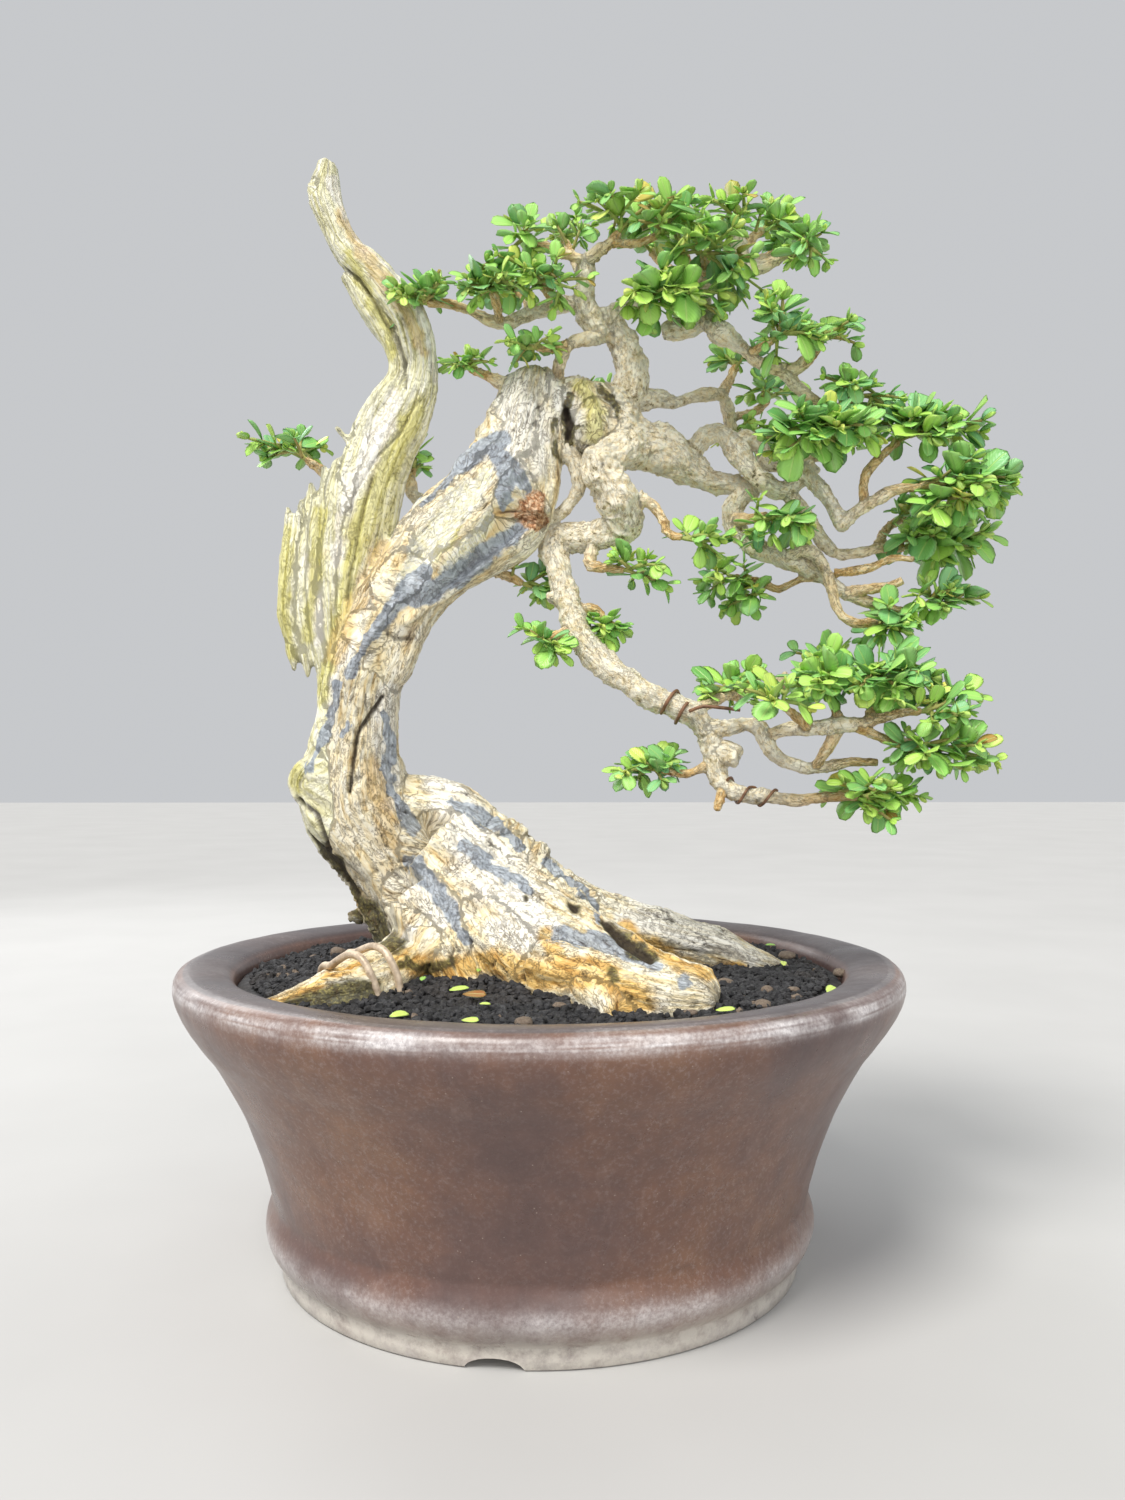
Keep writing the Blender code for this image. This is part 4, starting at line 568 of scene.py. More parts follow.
# Moss at the soil, and painted shade in the deepest grooves, darkened nearly black.
MOSS_AND_SHADE = [
    [(569, 392, 4), (565, 410, 6), (570, 430, 8), (566, 448, 6)],
    [(570, 430, 4), (584, 424, 3)],
    [(575, 455, 5), (592, 452, 4)],
    [(352, 893, 8), (368, 912, 15), (382, 932, 17), (398, 944, 10)],
    [(404, 962, 5), (430, 968, 4), (452, 962, 5)],
    [(600, 384, 3), (612, 398, 4), (618, 412, 3)],
    [(552, 420, 2), (556, 455, 3), (566, 462, 3)],
    [(604, 922, 5), (618, 936, 8), (640, 952, 8), (655, 958, 4)],
    [(306, 834, 4), (320, 846, 4), (338, 863, 5), (357, 892, 5)],
    [(574, 905, 8)],
    [(290, 1008, 8), (322, 1003, 16), (352, 996, 17), (374, 986, 10)],
    [(526, 898, 5)],
    [(612, 975, 7)],
]
CALLUS = [
    [(536, 497, 9), (531, 512, 15), (540, 520, 9)],
]

# Grooves cut into the front of the thick wood: depth in mm (negative stands out), then a stroke.
GROOVES = [
    (1.3, [
        (333, 258, 1.5), (359, 279, 2.2), (380, 311, 2.6), (396, 338, 2.6), (404, 366, 2.4),
        (405, 388, 1.5)]),
    (1.1, [
        (420, 385, 1.5), (414, 405, 2), (401, 432, 2.4), (376, 458, 2.4), (354, 494, 2.4),
        (345, 530, 1.5)]),
    (0.5, [(321, 515, 2), (320, 560, 2), (324, 610, 3), (330, 640, 2)]),
    (0.5, [(304, 520, 2), (302, 560, 3), (306, 610, 3), (311, 650, 2)]),
    (0.7, [(341, 540, 2), (338, 585, 2), (332, 620, 2)]),
    (1.2, [(372, 480, 3), (360, 520, 3), (352, 570, 3), (346, 600, 3)]),
    (1.8, [(383, 697, 2.5), (371, 716, 3), (359, 733, 3), (354, 761, 3), (350, 792, 2.5)]),
    (1.3, [(388, 634, 2.5), (397, 640, 3), (411, 639, 2.5)]),
    (1.2, [(399, 723, 2.5), (400, 750, 3), (408, 772, 2.5)]),
    (1.5, [(306, 834, 3), (320, 845, 4), (338, 863, 4), (357, 892, 4)]),
    (1.6, [(300, 800, 3), (318, 815, 3), (330, 850, 3)]),
    (3.2, [(566, 408, 3), (569, 424, 4), (568, 438, 3)]),
    (2.4, [(604, 920, 4), (622, 940, 6), (650, 958, 5)]),
    (2.2, [(574, 905, 7)]),
    (1.2, [(526, 898, 4)]),
    (1.2, [(648, 1000, 3), (655, 1015, 3)]),
    (2.0, [(474, 484, 9), (452, 512, 12), (430, 540, 12), (412, 570, 8)]),
    (-1.6, [(494, 446, 4), (470, 456, 4), (446, 470, 4), (428, 487, 4), (416, 508, 4)]),
    (-1.8, [(534, 526, 4), (508, 548, 4), (482, 566, 4), (456, 588, 4), (430, 606, 4), (406, 622, 4)]),
    (-1.2, [(404, 596, 3), (388, 614, 3), (372, 636, 3), (356, 660, 3), (346, 690, 3)]),
    (-1.4, [(436, 780, 8), (470, 800, 6), (500, 826, 6)]),
    (-1.0, [(391, 380, 4), (377, 396, 4)]),
]

# Places inside the crown, given as strokes too, where the limbs' lichen is laid thicker as painted shade.
INNER_SHADE = [
    [(600, 440, 60), (640, 500, 40), (560, 530, 40)],
    [(740, 500, 20), (790, 560, 16)],
    [(700, 440, 26), (760, 470, 20)],
]


def clear_of_axis(points):
    """Points drawn round the pot's axis, moved to the frame's place."""
    return [tuple(Vector(p) + OFFSET) for p in points]


def add_piece(name, points, faces, look=None, smooth=True):
    mesh = bpy.data.meshes.new(name)
    mesh.from_pydata(clear_of_axis(points), [], [tuple(f) for f in faces])
    mesh.update()
    made = bpy.data.objects.new(name, mesh)
    bpy.context.scene.collection.objects.link(made)
    if look is not None:
        mesh.materials.append(look)
    if smooth:
        mesh.shade_smooth()
    return made


def apply_modifiers(item):
    """Makes what the modifiers show the piece's own mesh."""
    bpy.context.view_layer.update()
    graph = bpy.context.evaluated_depsgraph_get()
    mesh = bpy.data.meshes.new_from_object(item.evaluated_get(graph))
    item.modifiers.clear()
    old = item.data
    item.data = mesh
    bpy.data.meshes.remove(old)
    mesh.name = item.name


def cut(item, cutters, solver="EXACT"):
    for cutter in cutters:
        step = item.modifiers.new("cut", "BOOLEAN")
        step.operation = "DIFFERENCE"
        step.solver = solver
        step.object = cutter
        apply_modifiers(item)
        bpy.data.objects.remove(cutter, do_unlink=True)


def on_view(across, up, depth):
    """The real place of a point drawn on the front view, pushed back along the line of sight."""
    drawn = Vector((across * MM, 0.0, up * MM))
    reach = 1.0 + depth * MM / -EYE.y
    return EYE + (drawn - EYE) * reach


def route(points, thicken=1.0):
    """Real places and radii of a drawn route."""
    return [(on_view(x, z, d), r * thicken * MM * (1.0 + d * MM / -EYE.y)) for x, z, d, r in points]


def curve_through(points, steps):
    """Catmull-Rom curve through points of any number of dimensions."""
    dots = [np.array(p, dtype=float) for p in points]
    knots = [2 * dots[0] - dots[1], *dots, 2 * dots[-1] - dots[-2]]
    made = []
    for i in range(1, len(knots) - 2):
        a, b, c, d = knots[i - 1:i + 3]
        for k in range(steps):
            t = k / steps
            made.append(0.5 * (2 * b + (c - a) * t + (2 * a - 5 * b + 4 * c - d) * t * t
                               + (3 * b - a - 3 * c + d) * t ** 3))
    return [tuple(p) for p in [*made, dots[-1]]]


def smooth(stations, steps):
    """The curve through (place, radius) stations, as such pairs again."""
    return [(Vector((x, y, z)), float(max(r, THINNEST)))
            for x, y, z, r in curve_through([(*p, r) for p, r in stations], steps)]


def frames(line):
    """A direction and two cross directions at each point, turned as little as possible."""
    places = [p for p, _ in line]
    ahead = []
    for i in range(len(places)):
        step = places[min(i + 1, len(places) - 1)] - places[max(i - 1, 0)]
        ahead.append(step.normalized())
    side = ahead[0].orthogonal().normalized()
    made = []
    for i, direction in enumerate(ahead):
        if i:
            side = (side - direction * side.dot(direction)).normalized()
        made.append((direction, side, direction.cross(side)))
    return made


def tube(line, sides, flute=0.0, flutes=5, twist=0.0, first_angle=0.0):
    """Points and faces of a closed tube along (place, radius) pairs, its skin fluted by a cosine."""
    points, faces = [], []
    run = 0.0
    for i, ((place, radius), (_, side, up)) in enumerate(zip(line, frames(line))):
        if i:
            run += (place - line[i - 1][0]).length
        for k in range(sides):
            angle = first_angle + 2 * math.pi * k / sides
            wave = 1 + flute * math.cos(flutes * angle + twist * run)
            points.append(place + (side * math.cos(angle) + up * math.sin(angle)) * radius * wave)
    rings = len(line)
    for i in range(rings - 1):
        for k in range(sides):
            a, b = i * sides + k, i * sides + (k + 1) % sides
            faces.append((a, b, b + sides, a + sides))
    faces.append(tuple(reversed(range(sides))))
    faces.append(tuple(range((rings - 1) * sides, rings * sides)))
    return points, faces


def rounded(line):
    """The same line with a short dome added at its far end."""
    (place, radius), (before, _) = line[-1], line[-2]
    ahead = (place - before).normalized()
    dome = [(place + ahead * radius * math.sin(a), radius * math.cos(a)) for a in (0.5, 1.0, 1.35)]
    return line + dome


def gathered(parts):
    """Several (points, faces) lists as one."""
    points, faces = [], []
    for some_points, some_faces in parts:
        offset = len(points)
        points.extend(some_points)
        faces.extend(tuple(i + offset for i in face) for face in some_faces)
    return points, faces


class Look:
    """A node material while it is put together."""

    def __init__(self, name, metallic=0.0):
        self.material = bpy.data.materials.new(name)
        self.material.use_nodes = True
        self.tree = self.material.node_tree
        self.shader = self.tree.nodes["Principled BSDF"]
        self.shader.inputs["Metallic"].default_value = metallic

    def add(self, kind, inputs=None, **settings):
        node = self.tree.nodes.new("ShaderNode" + kind)
        for key, value in settings.items():
            setattr(node, key, value)
        for key, value in (inputs or {}).items():
            self.put(node.inputs[key], value)
        return node

    def put(self, socket, value):
        if isinstance(value, bpy.types.NodeSocket):
            self.tree.links.new(value, socket)
        elif isinstance(value, tuple) and len(value) == 3 and socket.type == "RGBA":
            socket.default_value = (*value, 1.0)
        else:
            socket.default_value = value

    def attribute(self, name, output="Fac"):
        return self.add("Attribute", attribute_name=name).outputs[output]

    def place(self):
        return self.add("TexCoord").outputs["Object"]

    def scaled(self, vector, scale):
        node = self.add("Mapping", {"Vector": vector})
        node.inputs["Scale"].default_value = scale
        return node.outputs["Vector"]

    def noise(self, vector, scale, detail=4.0, roughness=0.55, distortion=0.0):
        return self.add("TexNoise", {"Vector": vector, "Scale": scale, "Detail": detail,
                                     "Roughness": roughness, "Distortion": distortion}).outputs["Fac"]

    def cells(self, vector, scale):
        return self.add("TexVoronoi", {"Vector": vector, "Scale": scale}).outputs["Distance"]

    def maths(self, operation, a, b=0.0):
        node = self.add("Math", operation=operation)
        self.put(node.inputs[0], a)
        self.put(node.inputs[1], b)
        return node.outputs[0]

    def times(self, a, b):
        return self.maths("MULTIPLY", a, b)

    def plus(self, a, b):
        return self.maths("ADD", a, b)

    def less(self, a, b):
        return self.maths("SUBTRACT", a, b)

    def most(self, a, b):
        return self.maths("MAXIMUM", a, b)

    def size(self, a):
        return self.maths("ABSOLUTE", a)

    def ramp(self, value, *stops):
        """Stops are (place, grey) or (place, colour)."""
        node = self.add("ValToRGB", {"Fac": value})
        ramp = node.color_ramp
        while len(ramp.elements) < len(stops):
            ramp.elements.new(0.5)
        for element, (where, shade) in zip(ramp.elements, stops):
            element.position = where
            colour = shade if isinstance(shade, tuple) else (shade, shade, shade)
            element.color = (*colour, 1.0)
        return node.outputs["Color"]

    def shades(self, value, *stops):
        """A ramp whose stops are (place, red, green, blue), the colours as screen values."""
        return self.ramp(value, *[(where, tone(*colour)) for where, *colour in stops])

    def mix(self, share, a, b):
        node = self.add("Mix", data_type="RGBA")
        self.put(node.inputs[0], share)
        self.put(node.inputs[6], a)
        self.put(node.inputs[7], b)
        return node.outputs[2]

    def finish(self, colour, roughness, height=None, distance=0.0005, strength=1.0):
        self.put(self.shader.inputs["Base Color"], colour)
        self.put(self.shader.inputs["Roughness"], roughness)
        if height is not None:
            bump = self.add("Bump", {"Height": height, "Distance": distance, "Strength": strength})
            self.put(self.shader.inputs["Normal"], bump.outputs["Normal"])
        return self.material


def tone(red, green, blue):
    """A colour given as screen values from 0 to 255, in linear light."""
    made = []
    for value in (red, green, blue):
        share = value / 255
        made.append(share / 12.92 if share <= 0.04045 else ((share + 0.055) / 1.055) ** 2.4)
    return tuple(made)


def clay_look():
    """Unglazed purple-brown clay, greyed on its worn edges, with a painted silvery sheen on its lip and
    band, and whitened by salts at its foot.
    """
    look = Look("fine_clay")
    where = look.place()
    height = look.add("SeparateXYZ", {"Vector": where}).outputs["Z"]
    haze = look.noise(where, 14.0, 5.0, 0.6)
    fine = look.noise(where, 160.0, 4.0, 0.6)
    grains = look.noise(where, 620.0, 5.0, 0.75)
    streak = look.noise(look.scaled(where, (1.0, 1.0, 0.12)), 60.0, 4.0, 0.6, 1.5)
    body = look.shades(haze, (0.30, 88, 70, 68), (0.44, 102, 78, 72), (0.56, 116, 84, 70),
                       (0.72, 136, 100, 76))
    body = look.mix(look.ramp(fine, (0.35, 0.25), (0.7, 0.0)), body, tone(62, 48, 46))
    body = look.mix(look.ramp(streak, (0.60, 0.0), (0.78, 0.35)), body, tone(146, 122, 112))
    dark = look.shades(haze, (0.35, 66, 58, 60), (0.65, 88, 78, 78))
    body = look.mix(look.attribute("top"), body, dark)
    dusting = look.times(look.ramp(grains, (0.50, 0.0), (0.68, 0.40)),
                         look.ramp(haze, (0.40, 0.15), (0.62, 0.8)))
    body = look.mix(dusting, body, tone(172, 160, 158))
    patch = look.ramp(look.noise(where, 35.0, 5.0, 0.65), (0.35, 0.25), (0.65, 1.0))
    # Painted silvery sheen on the lip and band, mixed with the real wear there and at the foot.
    silver_sheen = look.shades(grains, (0.35, 170, 164, 166), (0.60, 228, 224, 224))
    body = look.mix(look.times(look.attribute("worn_and_sheen"), patch), body, silver_sheen)
    low = look.ramp(height, (0.0, 1.0), (0.0080, 0.85), (0.0125, 0.30), (0.020, 0.0))
    salt = look.ramp(look.noise(where, 130.0, 6.0, 0.75), (0.34, 0.35), (0.56, 1.0))
    body = look.mix(look.times(low, salt), body, tone(206, 200, 190))
    specks = look.ramp(look.cells(where, 240.0), (0.045, 1.0), (0.075, 0.0))
    body = look.mix(look.times(specks, 0.5), body, tone(176, 160, 148))
    rough = look.ramp(look.noise(where, 45.0, 5.0, 0.6), (0.30, 0.24), (0.70, 0.40))
    relief = look.plus(look.times(fine, 0.5), look.times(haze, 0.8))
    return look.finish(body, rough, relief, 0.0006, 0.5)


def plastic_look():
    look = Look("black_plastic")
    where = look.place()
    grain = look.noise(where, 400.0)
    body = look.ramp(look.noise(where, 60.0), (0.3, (0.012, 0.012, 0.012)), (0.7, (0.035, 0.034, 0.032)))
    return look.finish(body, look.ramp(grain, (0.3, 0.45), (0.7, 0.65)), grain, 0.0002, 0.3)


def grit_look():
    """Near-black crumbly lava, with a brown stone here and there."""
    look = Look("grit")
    where = look.place()
    coarse = look.noise(where, 260.0, 5.0, 0.7)
    fine = look.noise(where, 1100.0, 4.0, 0.7)
    body = look.shades(coarse, (0.30, 20, 20, 22), (0.50, 43, 43, 46), (0.72, 84, 84, 86))
    body = look.mix(look.ramp(look.noise(where, 30.0), (0.5, 0.0), (0.75, 0.35)), body, tone(70, 60, 52))
    stone = look.shades(fine, (0.3, 92, 76, 62), (0.7, 140, 126, 112))
    body = look.mix(look.attribute("stone"), body, stone)
    relief = look.plus(coarse, look.times(fine, 0.5))
    return look.finish(body, look.ramp(fine, (0.3, 0.62), (0.7, 0.95)), relief, 0.0010, 0.9)


def cracks(look, grain, scale, stretch, width):
    """Fine wandering lines along the grain, where a noise crosses its middle."""
    wave = look.noise(look.scaled(grain, (1.0, 1.0, stretch)), scale, 5.0, 0.62, 1.1)
    return look.ramp(look.size(look.less(wave, 0.5)), (0.0, 1.0), (width, 0.0))


def bark_look():
    """Live bark, bleached deadwood and wound paste, laid by the masks that bark_relief paints."""
    look = Look("fine_bark")
    where = look.place()
    grain = look.attribute("grain", "Vector")
    fibre = look.noise(look.scaled(grain, (1.0, 1.0, 0.14)), 420.0, 6.0, 0.65, 0.3)
    strands = look.noise(look.scaled(grain, (1.0, 1.0, 0.05)), 900.0, 5.0, 0.65)
    scales = look.noise(look.scaled(grain, (1.0, 1.0, 0.45)), 480.0, 6.0, 0.70, 0.9)
    etched = look.most(cracks(look, grain, 120.0, 0.40, 0.016), cracks(look, grain, 300.0, 0.50, 0.022))
    blotch = look.noise(where, 70.0, 5.0, 0.62)
    speck = look.noise(where, 620.0, 5.0, 0.72)
    spots = look.noise(where, 330.0, 6.0, 0.75)
    pale = look.attribute("limb")
    twig = look.attribute("twig")
    dead = look.attribute("dead")

    # The wood itself: trunk, limbs with their lichen and painted shade, twigs and deadwood.
    surface = look.shades(fibre, (0.28, 136, 104, 62), (0.37, 220, 190, 134), (0.46, 248, 231, 186),
                          (0.60, 255, 249, 226))
    grey = look.shades(fibre, (0.28, 140, 130, 112), (0.44, 222, 214, 196), (0.60, 250, 247, 236))
    surface = look.mix(look.ramp(blotch, (0.42, 0.0), (0.66, 0.75)), surface, grey)
    cream = look.shades(spots, (0.27, 130, 108, 66), (0.34, 216, 194, 144), (0.42, 250, 233, 194),
                        (0.55, 255, 249, 228))
    surface = look.mix(pale, surface, cream)
    # Lichen specks on the limbs, laid thicker on their undersides and inside the crown as painted shade.
    lichen_and_shade = look.times(look.attribute("lichen_and_shade"), look.ramp(spots, (0.37, 0.9), (0.46, 0.0)))
    surface = look.mix(lichen_and_shade, surface, look.shades(speck, (0.35, 38, 40, 30), (0.65, 104, 104, 66)))
    tan = look.shades(scales, (0.32, 156, 112, 62), (0.42, 224, 182, 116), (0.53, 248, 218, 162),
                      (0.66, 255, 245, 216))
    surface = look.mix(twig, surface, tan)
    bone = look.shades(strands, (0.26, 150, 140, 84), (0.37, 212, 206, 150), (0.47, 240, 236, 196),
                       (0.62, 254, 252, 234))
    surface = look.mix(dead, surface, bone)

    # The coats: what is mixed in over each mask, how soft its edge is, and how much it covers.
    paste = look.mix(0.4,
                     look.shades(fibre, (0.30, 106, 114, 126), (0.48, 152, 163, 177), (0.66, 212, 220, 228)),
                     look.shades(spots, (0.34, 104, 112, 124), (0.47, 150, 160, 174), (0.60, 206, 214, 222)))
    crust = look.noise(where, 480.0, 5.0, 0.7)
    coats = {
        "bleach": (look.shades(strands, (0.24, 218, 204, 168), (0.40, 252, 245, 226),
                               (0.58, 255, 253, 244)), 0.3, 0.95),
        # Olive tint of the deadwood, also painted shade along the jin's grooves and its shaded right side.
        "olive_and_shade": (look.shades(strands, (0.26, 128, 118, 46), (0.42, 198, 190, 96),
                              (0.60, 234, 228, 150)), 0.35, 0.78),
        "stain": (look.shades(fibre, (0.28, 150, 112, 56), (0.46, 216, 178, 104),
                              (0.66, 242, 216, 158)), 0.35, 0.6),
        "wound": (look.shades(spots, (0.30, 230, 218, 152), (0.45, 253, 248, 214),
                              (0.58, 255, 254, 242)), 0.2, 0.95),
        "orange": (look.shades(fibre, (0.28, 110, 76, 30), (0.39, 204, 148, 54), (0.52, 240, 194, 98),
                               (0.66, 252, 228, 166)), 0.35, 0.85),
        "paste": (paste, 0.13, 0.92),
        "callus": (look.shades(crust, (0.34, 112, 66, 38), (0.47, 196, 142, 98),
                               (0.60, 244, 212, 176)), 0.12, 1.0),
        # Moss near the soil, and painted shade that darkens the deepest grooves nearly black.
        "moss_and_shade": (look.shades(speck, (0.34, 28, 28, 16), (0.50, 74, 72, 34),
                             (0.66, 150, 140, 78)), 0.25, 0.9),
    }
    wear = look.times(look.less(blotch, 0.5), 0.9)
    fray = look.times(look.less(speck, 0.5), 0.5)
    for mask, (texture, soft, power) in coats.items():
        ragged = look.plus(look.plus(look.attribute(mask), wear), fray)
        share = look.ramp(ragged, (0.5 - soft, 0.0), (0.5 + soft, power))
        surface = look.mix(share, surface, texture)

    # The dark lines: etching, fainter on plain wood and paste, then cracks, darkened by depth as painted
    # shade in grooves and furrows, and hairlines.
    etching = look.times(etched, look.ramp(blotch, (0.36, 0.20), (0.60, 0.80)))
    plain = look.plus(look.times(dead, 0.65), look.times(look.attribute("paste"), 0.45))
    plain = look.plus(plain, look.times(pale, 0.30))
    plain = look.most(plain, look.times(look.attribute("wound"), 0.7))
    surface = look.mix(look.times(etching, look.less(1.0, plain)), surface, tone(104, 80, 48))
    # Cracks, partly painted shade: darker where the relief cuts deeper.
    crack_and_shade = look.ramp(look.attribute("crack_and_shade"), (0.25, 0.0), (0.85, 0.92))
    surface = look.mix(crack_and_shade, surface, tone(52, 40, 26))
    hair = look.times(look.ramp(fibre, (0.28, 0.75), (0.36, 0.0)), look.attribute("rough"))
    surface = look.mix(hair, surface, tone(66, 50, 32))

    height = look.plus(look.times(fibre, 1.0), look.times(strands, 0.5))
    height = look.mix(look.most(pale, twig), height, look.plus(scales, look.times(spots, 0.8)))
    height = look.less(height, look.times(etched, 0.25))
    height = look.plus(height, look.times(speck, 0.35))
    return look.finish(surface, look.ramp(speck, (0.3, 0.62), (0.7, 0.88)), height, 0.0016, 0.9)


def metal_look(name, dark, light):
    look = Look(name, 0.35)
    where = look.place()
    haze = look.noise(where, 300.0, 4.0, 0.6)
    scratch = look.noise(look.scaled(where, (1.0, 1.0, 3.0)), 900.0, 3.0)
    body = look.ramp(haze, (0.3, dark), (0.7, light))
    return look.finish(body, look.ramp(haze, (0.3, 0.40), (0.7, 0.62)), scratch, 0.0001, 0.4)


def leaf_look():
    """Leaf blades: young tips lime, grown leaves deeper, with bluish patches that are partly their own tone
    and partly a painted sheen, and a pale rib and side veins.
    """
    look = Look("fine_leaf")
    blade = look.add("SeparateXYZ", {"Vector": look.attribute("blade", "Vector")})
    side = look.size(blade.outputs["X"])
    hue = look.attribute("hue")
    where = look.place()
    haze = look.noise(where, 160.0, 3.0, 0.5)
    grown = look.shades(hue, (0.0, 84, 152, 78), (0.22, 124, 192, 94), (0.45, 160, 218, 96),
                        (0.68, 186, 228, 98), (0.86, 214, 238, 116), (0.95, 232, 222, 100),
                        (1.0, 156, 92, 44))
    body = look.mix(look.ramp(haze, (0.3, 0.0), (0.7, 0.35)), grown,
                    look.mix(0.5, grown, tone(176, 214, 126)))
    # Bluish patches on grown leaves, partly their own tone and partly a painted sheen.
    bluish_sheen = look.times(look.ramp(look.noise(where, 34.0, 2.0), (0.42, 0.0), (0.62, 0.55)),
                        look.ramp(hue, (0.30, 1.0), (0.60, 0.0)))
    body = look.mix(bluish_sheen, body, tone(132, 192, 150))
    slant = look.plus(blade.outputs["Y"], look.times(side, -0.45))
    veins = look.size(look.maths("SINE", look.times(slant, 24.0)))
    body = look.mix(look.times(look.ramp(veins, (0.0, 0.30), (0.22, 0.0)), 0.6), body,
                    tone(186, 218, 136))
    rib = look.ramp(side, (0.0, 0.75), (0.09, 0.0))
    edge = look.ramp(side, (0.84, 0.0), (0.98, 0.5))
    body = look.mix(look.most(rib, edge), body, tone(194, 222, 132))
    body = look.mix(look.times(look.attribute("under"), 0.55), body, tone(140, 176, 110))
    height = look.plus(look.times(veins, 0.35), look.ramp(side, (0.0, 0.0), (0.12, 1.0)))
    return look.finish(body, look.ramp(haze, (0.3, 0.30), (0.7, 0.48)), height, 0.0003, 0.6)


def shoot_look():
    """Green young shoots that turn woody with age."""
    look = Look("fine_shoot")
    grain = look.noise(look.place(), 500.0, 4.0, 0.6)
    young = look.shades(grain, (0.3, 120, 150, 66), (0.7, 168, 190, 96))
    woody = look.shades(grain, (0.3, 134, 98, 62), (0.7, 198, 160, 112))
    body = look.mix(look.attribute("hue"), woody, young)
    return look.finish(body, look.ramp(grain, (0.3, 0.5), (0.7, 0.7)), grain, 0.0003, 0.5)


def floor_look():
    look = Look("pale_floor")
    grain = look.noise(look.place(), 6.0, 3.0)
    return look.finish(look.ramp(grain, (0.3, (0.50, 0.50, 0.495)), (0.7, (0.53, 0.53, 0.525))), 0.75)


class Grain:
    """The routes that a skin was drawn round, for asking how the wood runs near a point."""

    def __init__(self, groups):
        self.places, self.ahead, self.side, self.up = [], [], [], []
        self.radius, self.along, self.group, self.spread, self.key = [], [], [], [], []
        for number, (group, line) in enumerate(groups):
            spread = sum(r for _, r in line) / len(line)
            run = 0.0
            for i, ((place, radius), (ahead, side, up)) in enumerate(zip(line, frames(line))):
                if i:
                    run += (place - line[i - 1][0]).length
                self.places.append(place)
                self.ahead.append(ahead)
                self.side.append(side)
                self.up.append(up)
                self.radius.append(radius)
                self.along.append(run)
                self.group.append(group)
                self.spread.append(spread)
                self.key.append(number)
        self.tree = KDTree(len(self.places))
        for i, place in enumerate(self.places):
            self.tree.insert(place, i)
        self.tree.balance()

    def nearest(self, points):
        """For each point, the station whose skin is nearest."""
        found = np.empty(len(points), dtype=np.int64)
        radius = self.radius
        for n, point in enumerate(points):
            best, least = 0, 1e9
            for _, i, distance in self.tree.find_n(point, 7):
                if distance - radius[i] < least:
                    best, least = i, distance - radius[i]
            found[n] = best
        return found

    def unrolled(self, points, found):
        """Points in the wood's own grain: round the branch, and along it, in metres."""
        offset = points - np.array(self.places)[found]
        ahead = np.array(self.ahead)[found]
        along = np.einsum("ij,ij->i", offset, ahead)
        x = np.einsum("ij,ij->i", offset, np.array(self.side)[found])
        y = np.einsum("ij,ij->i", offset, np.array(self.up)[found])
        angle = np.arctan2(y, x)
        spread = np.array(self.spread)[found]
        run = np.array(self.along)[found] + along
        key = np.array(self.key)[found] * 0.37
        return np.stack([spread * np.cos(angle) + key, spread * np.sin(angle) - key, run], axis=1)


def cloud(points, scale, octaves):
    """Fractal noise from about -1 to 1 at each point, which is given in metres."""
    scale = np.asarray(scale, dtype=float)
    return np.array([noise.fractal(p, 0.9, 2.1, octaves) for p in points * scale])


def mesh_arrays(item):
    """A piece's points, drawn round the pot's axis, and their normals."""
    mesh = item.data
    count = len(mesh.vertices)
    points = np.empty(count * 3)
    mesh.vertices.foreach_get("co", points)
    normals = np.empty(count * 3)
    mesh.vertex_normals.foreach_get("vector", normals)
    return points.reshape(-1, 3) - np.array(OFFSET), normals.reshape(-1, 3)


def set_points(item, points):
    item.data.vertices.foreach_set("co", (points + np.array(OFFSET)).ravel())
    item.data.update()


def set_mask(item, name, values, kind="FLOAT"):
    """Keeps a value for each point, which a look reads by its name."""
    layer = item.data.attributes.new(name, kind, "POINT")
    key = "value" if kind == "FLOAT" else "vector"
    layer.data.foreach_set(key, np.ascontiguousarray(values, dtype=np.float32).ravel())


def mask_of(item, name):
    """The values that set_mask kept."""
    values = np.empty(len(item.data.vertices), dtype=np.float32)
    item.data.attributes[name].data.foreach_get("value", values)
    return values


def seen(points):
    """Where points show in the photograph, in its pixels."""
    reach = -EYE.y / (points[:, 1] - EYE.y)
    across = points[:, 0] * reach / MM
    up = (EYE.z + (points[:, 2] - EYE.z) * reach) / MM
    return np.stack([VIEW_CENTRE[0] + across / PIXEL_MM,
                     VIEW_CENTRE[1] - (up - EYE.z / MM) / PIXEL_MM], axis=1)


def towards_eye(points, normals):
    """How squarely each point's surface faces the camera, from -1 to 1."""
    eye = np.array(EYE) - points
    eye /= np.linalg.norm(eye, axis=1)[:, None]
    return np.einsum("ij,ij->i", normals, eye)


def stroke_share(spots, stroke):
    """1 in the middle of a stroke, 0.5 at its half width, 0 at one and a half times that."""
    best = np.full(len(spots), 9.0)
    dots = np.array(stroke, dtype=float)
    if len(dots) == 1:
        dots = np.repeat(dots, 2, axis=0)
    for (ax, ay, ar), (bx, by, br) in zip(dots[:-1], dots[1:]):
        run = np.array([bx - ax, by - ay])
        length = max(float(run @ run), 1e-6)
        t = np.clip(((spots - (ax, ay)) @ run) / length, 0.0, 1.0)
        gap = np.hypot(spots[:, 0] - ax - run[0] * t, spots[:, 1] - ay - run[1] * t)
        best = np.minimum(best, gap / (ar + (br - ar) * t))
    return np.clip(1.5 - best, 0.0, 1.0)


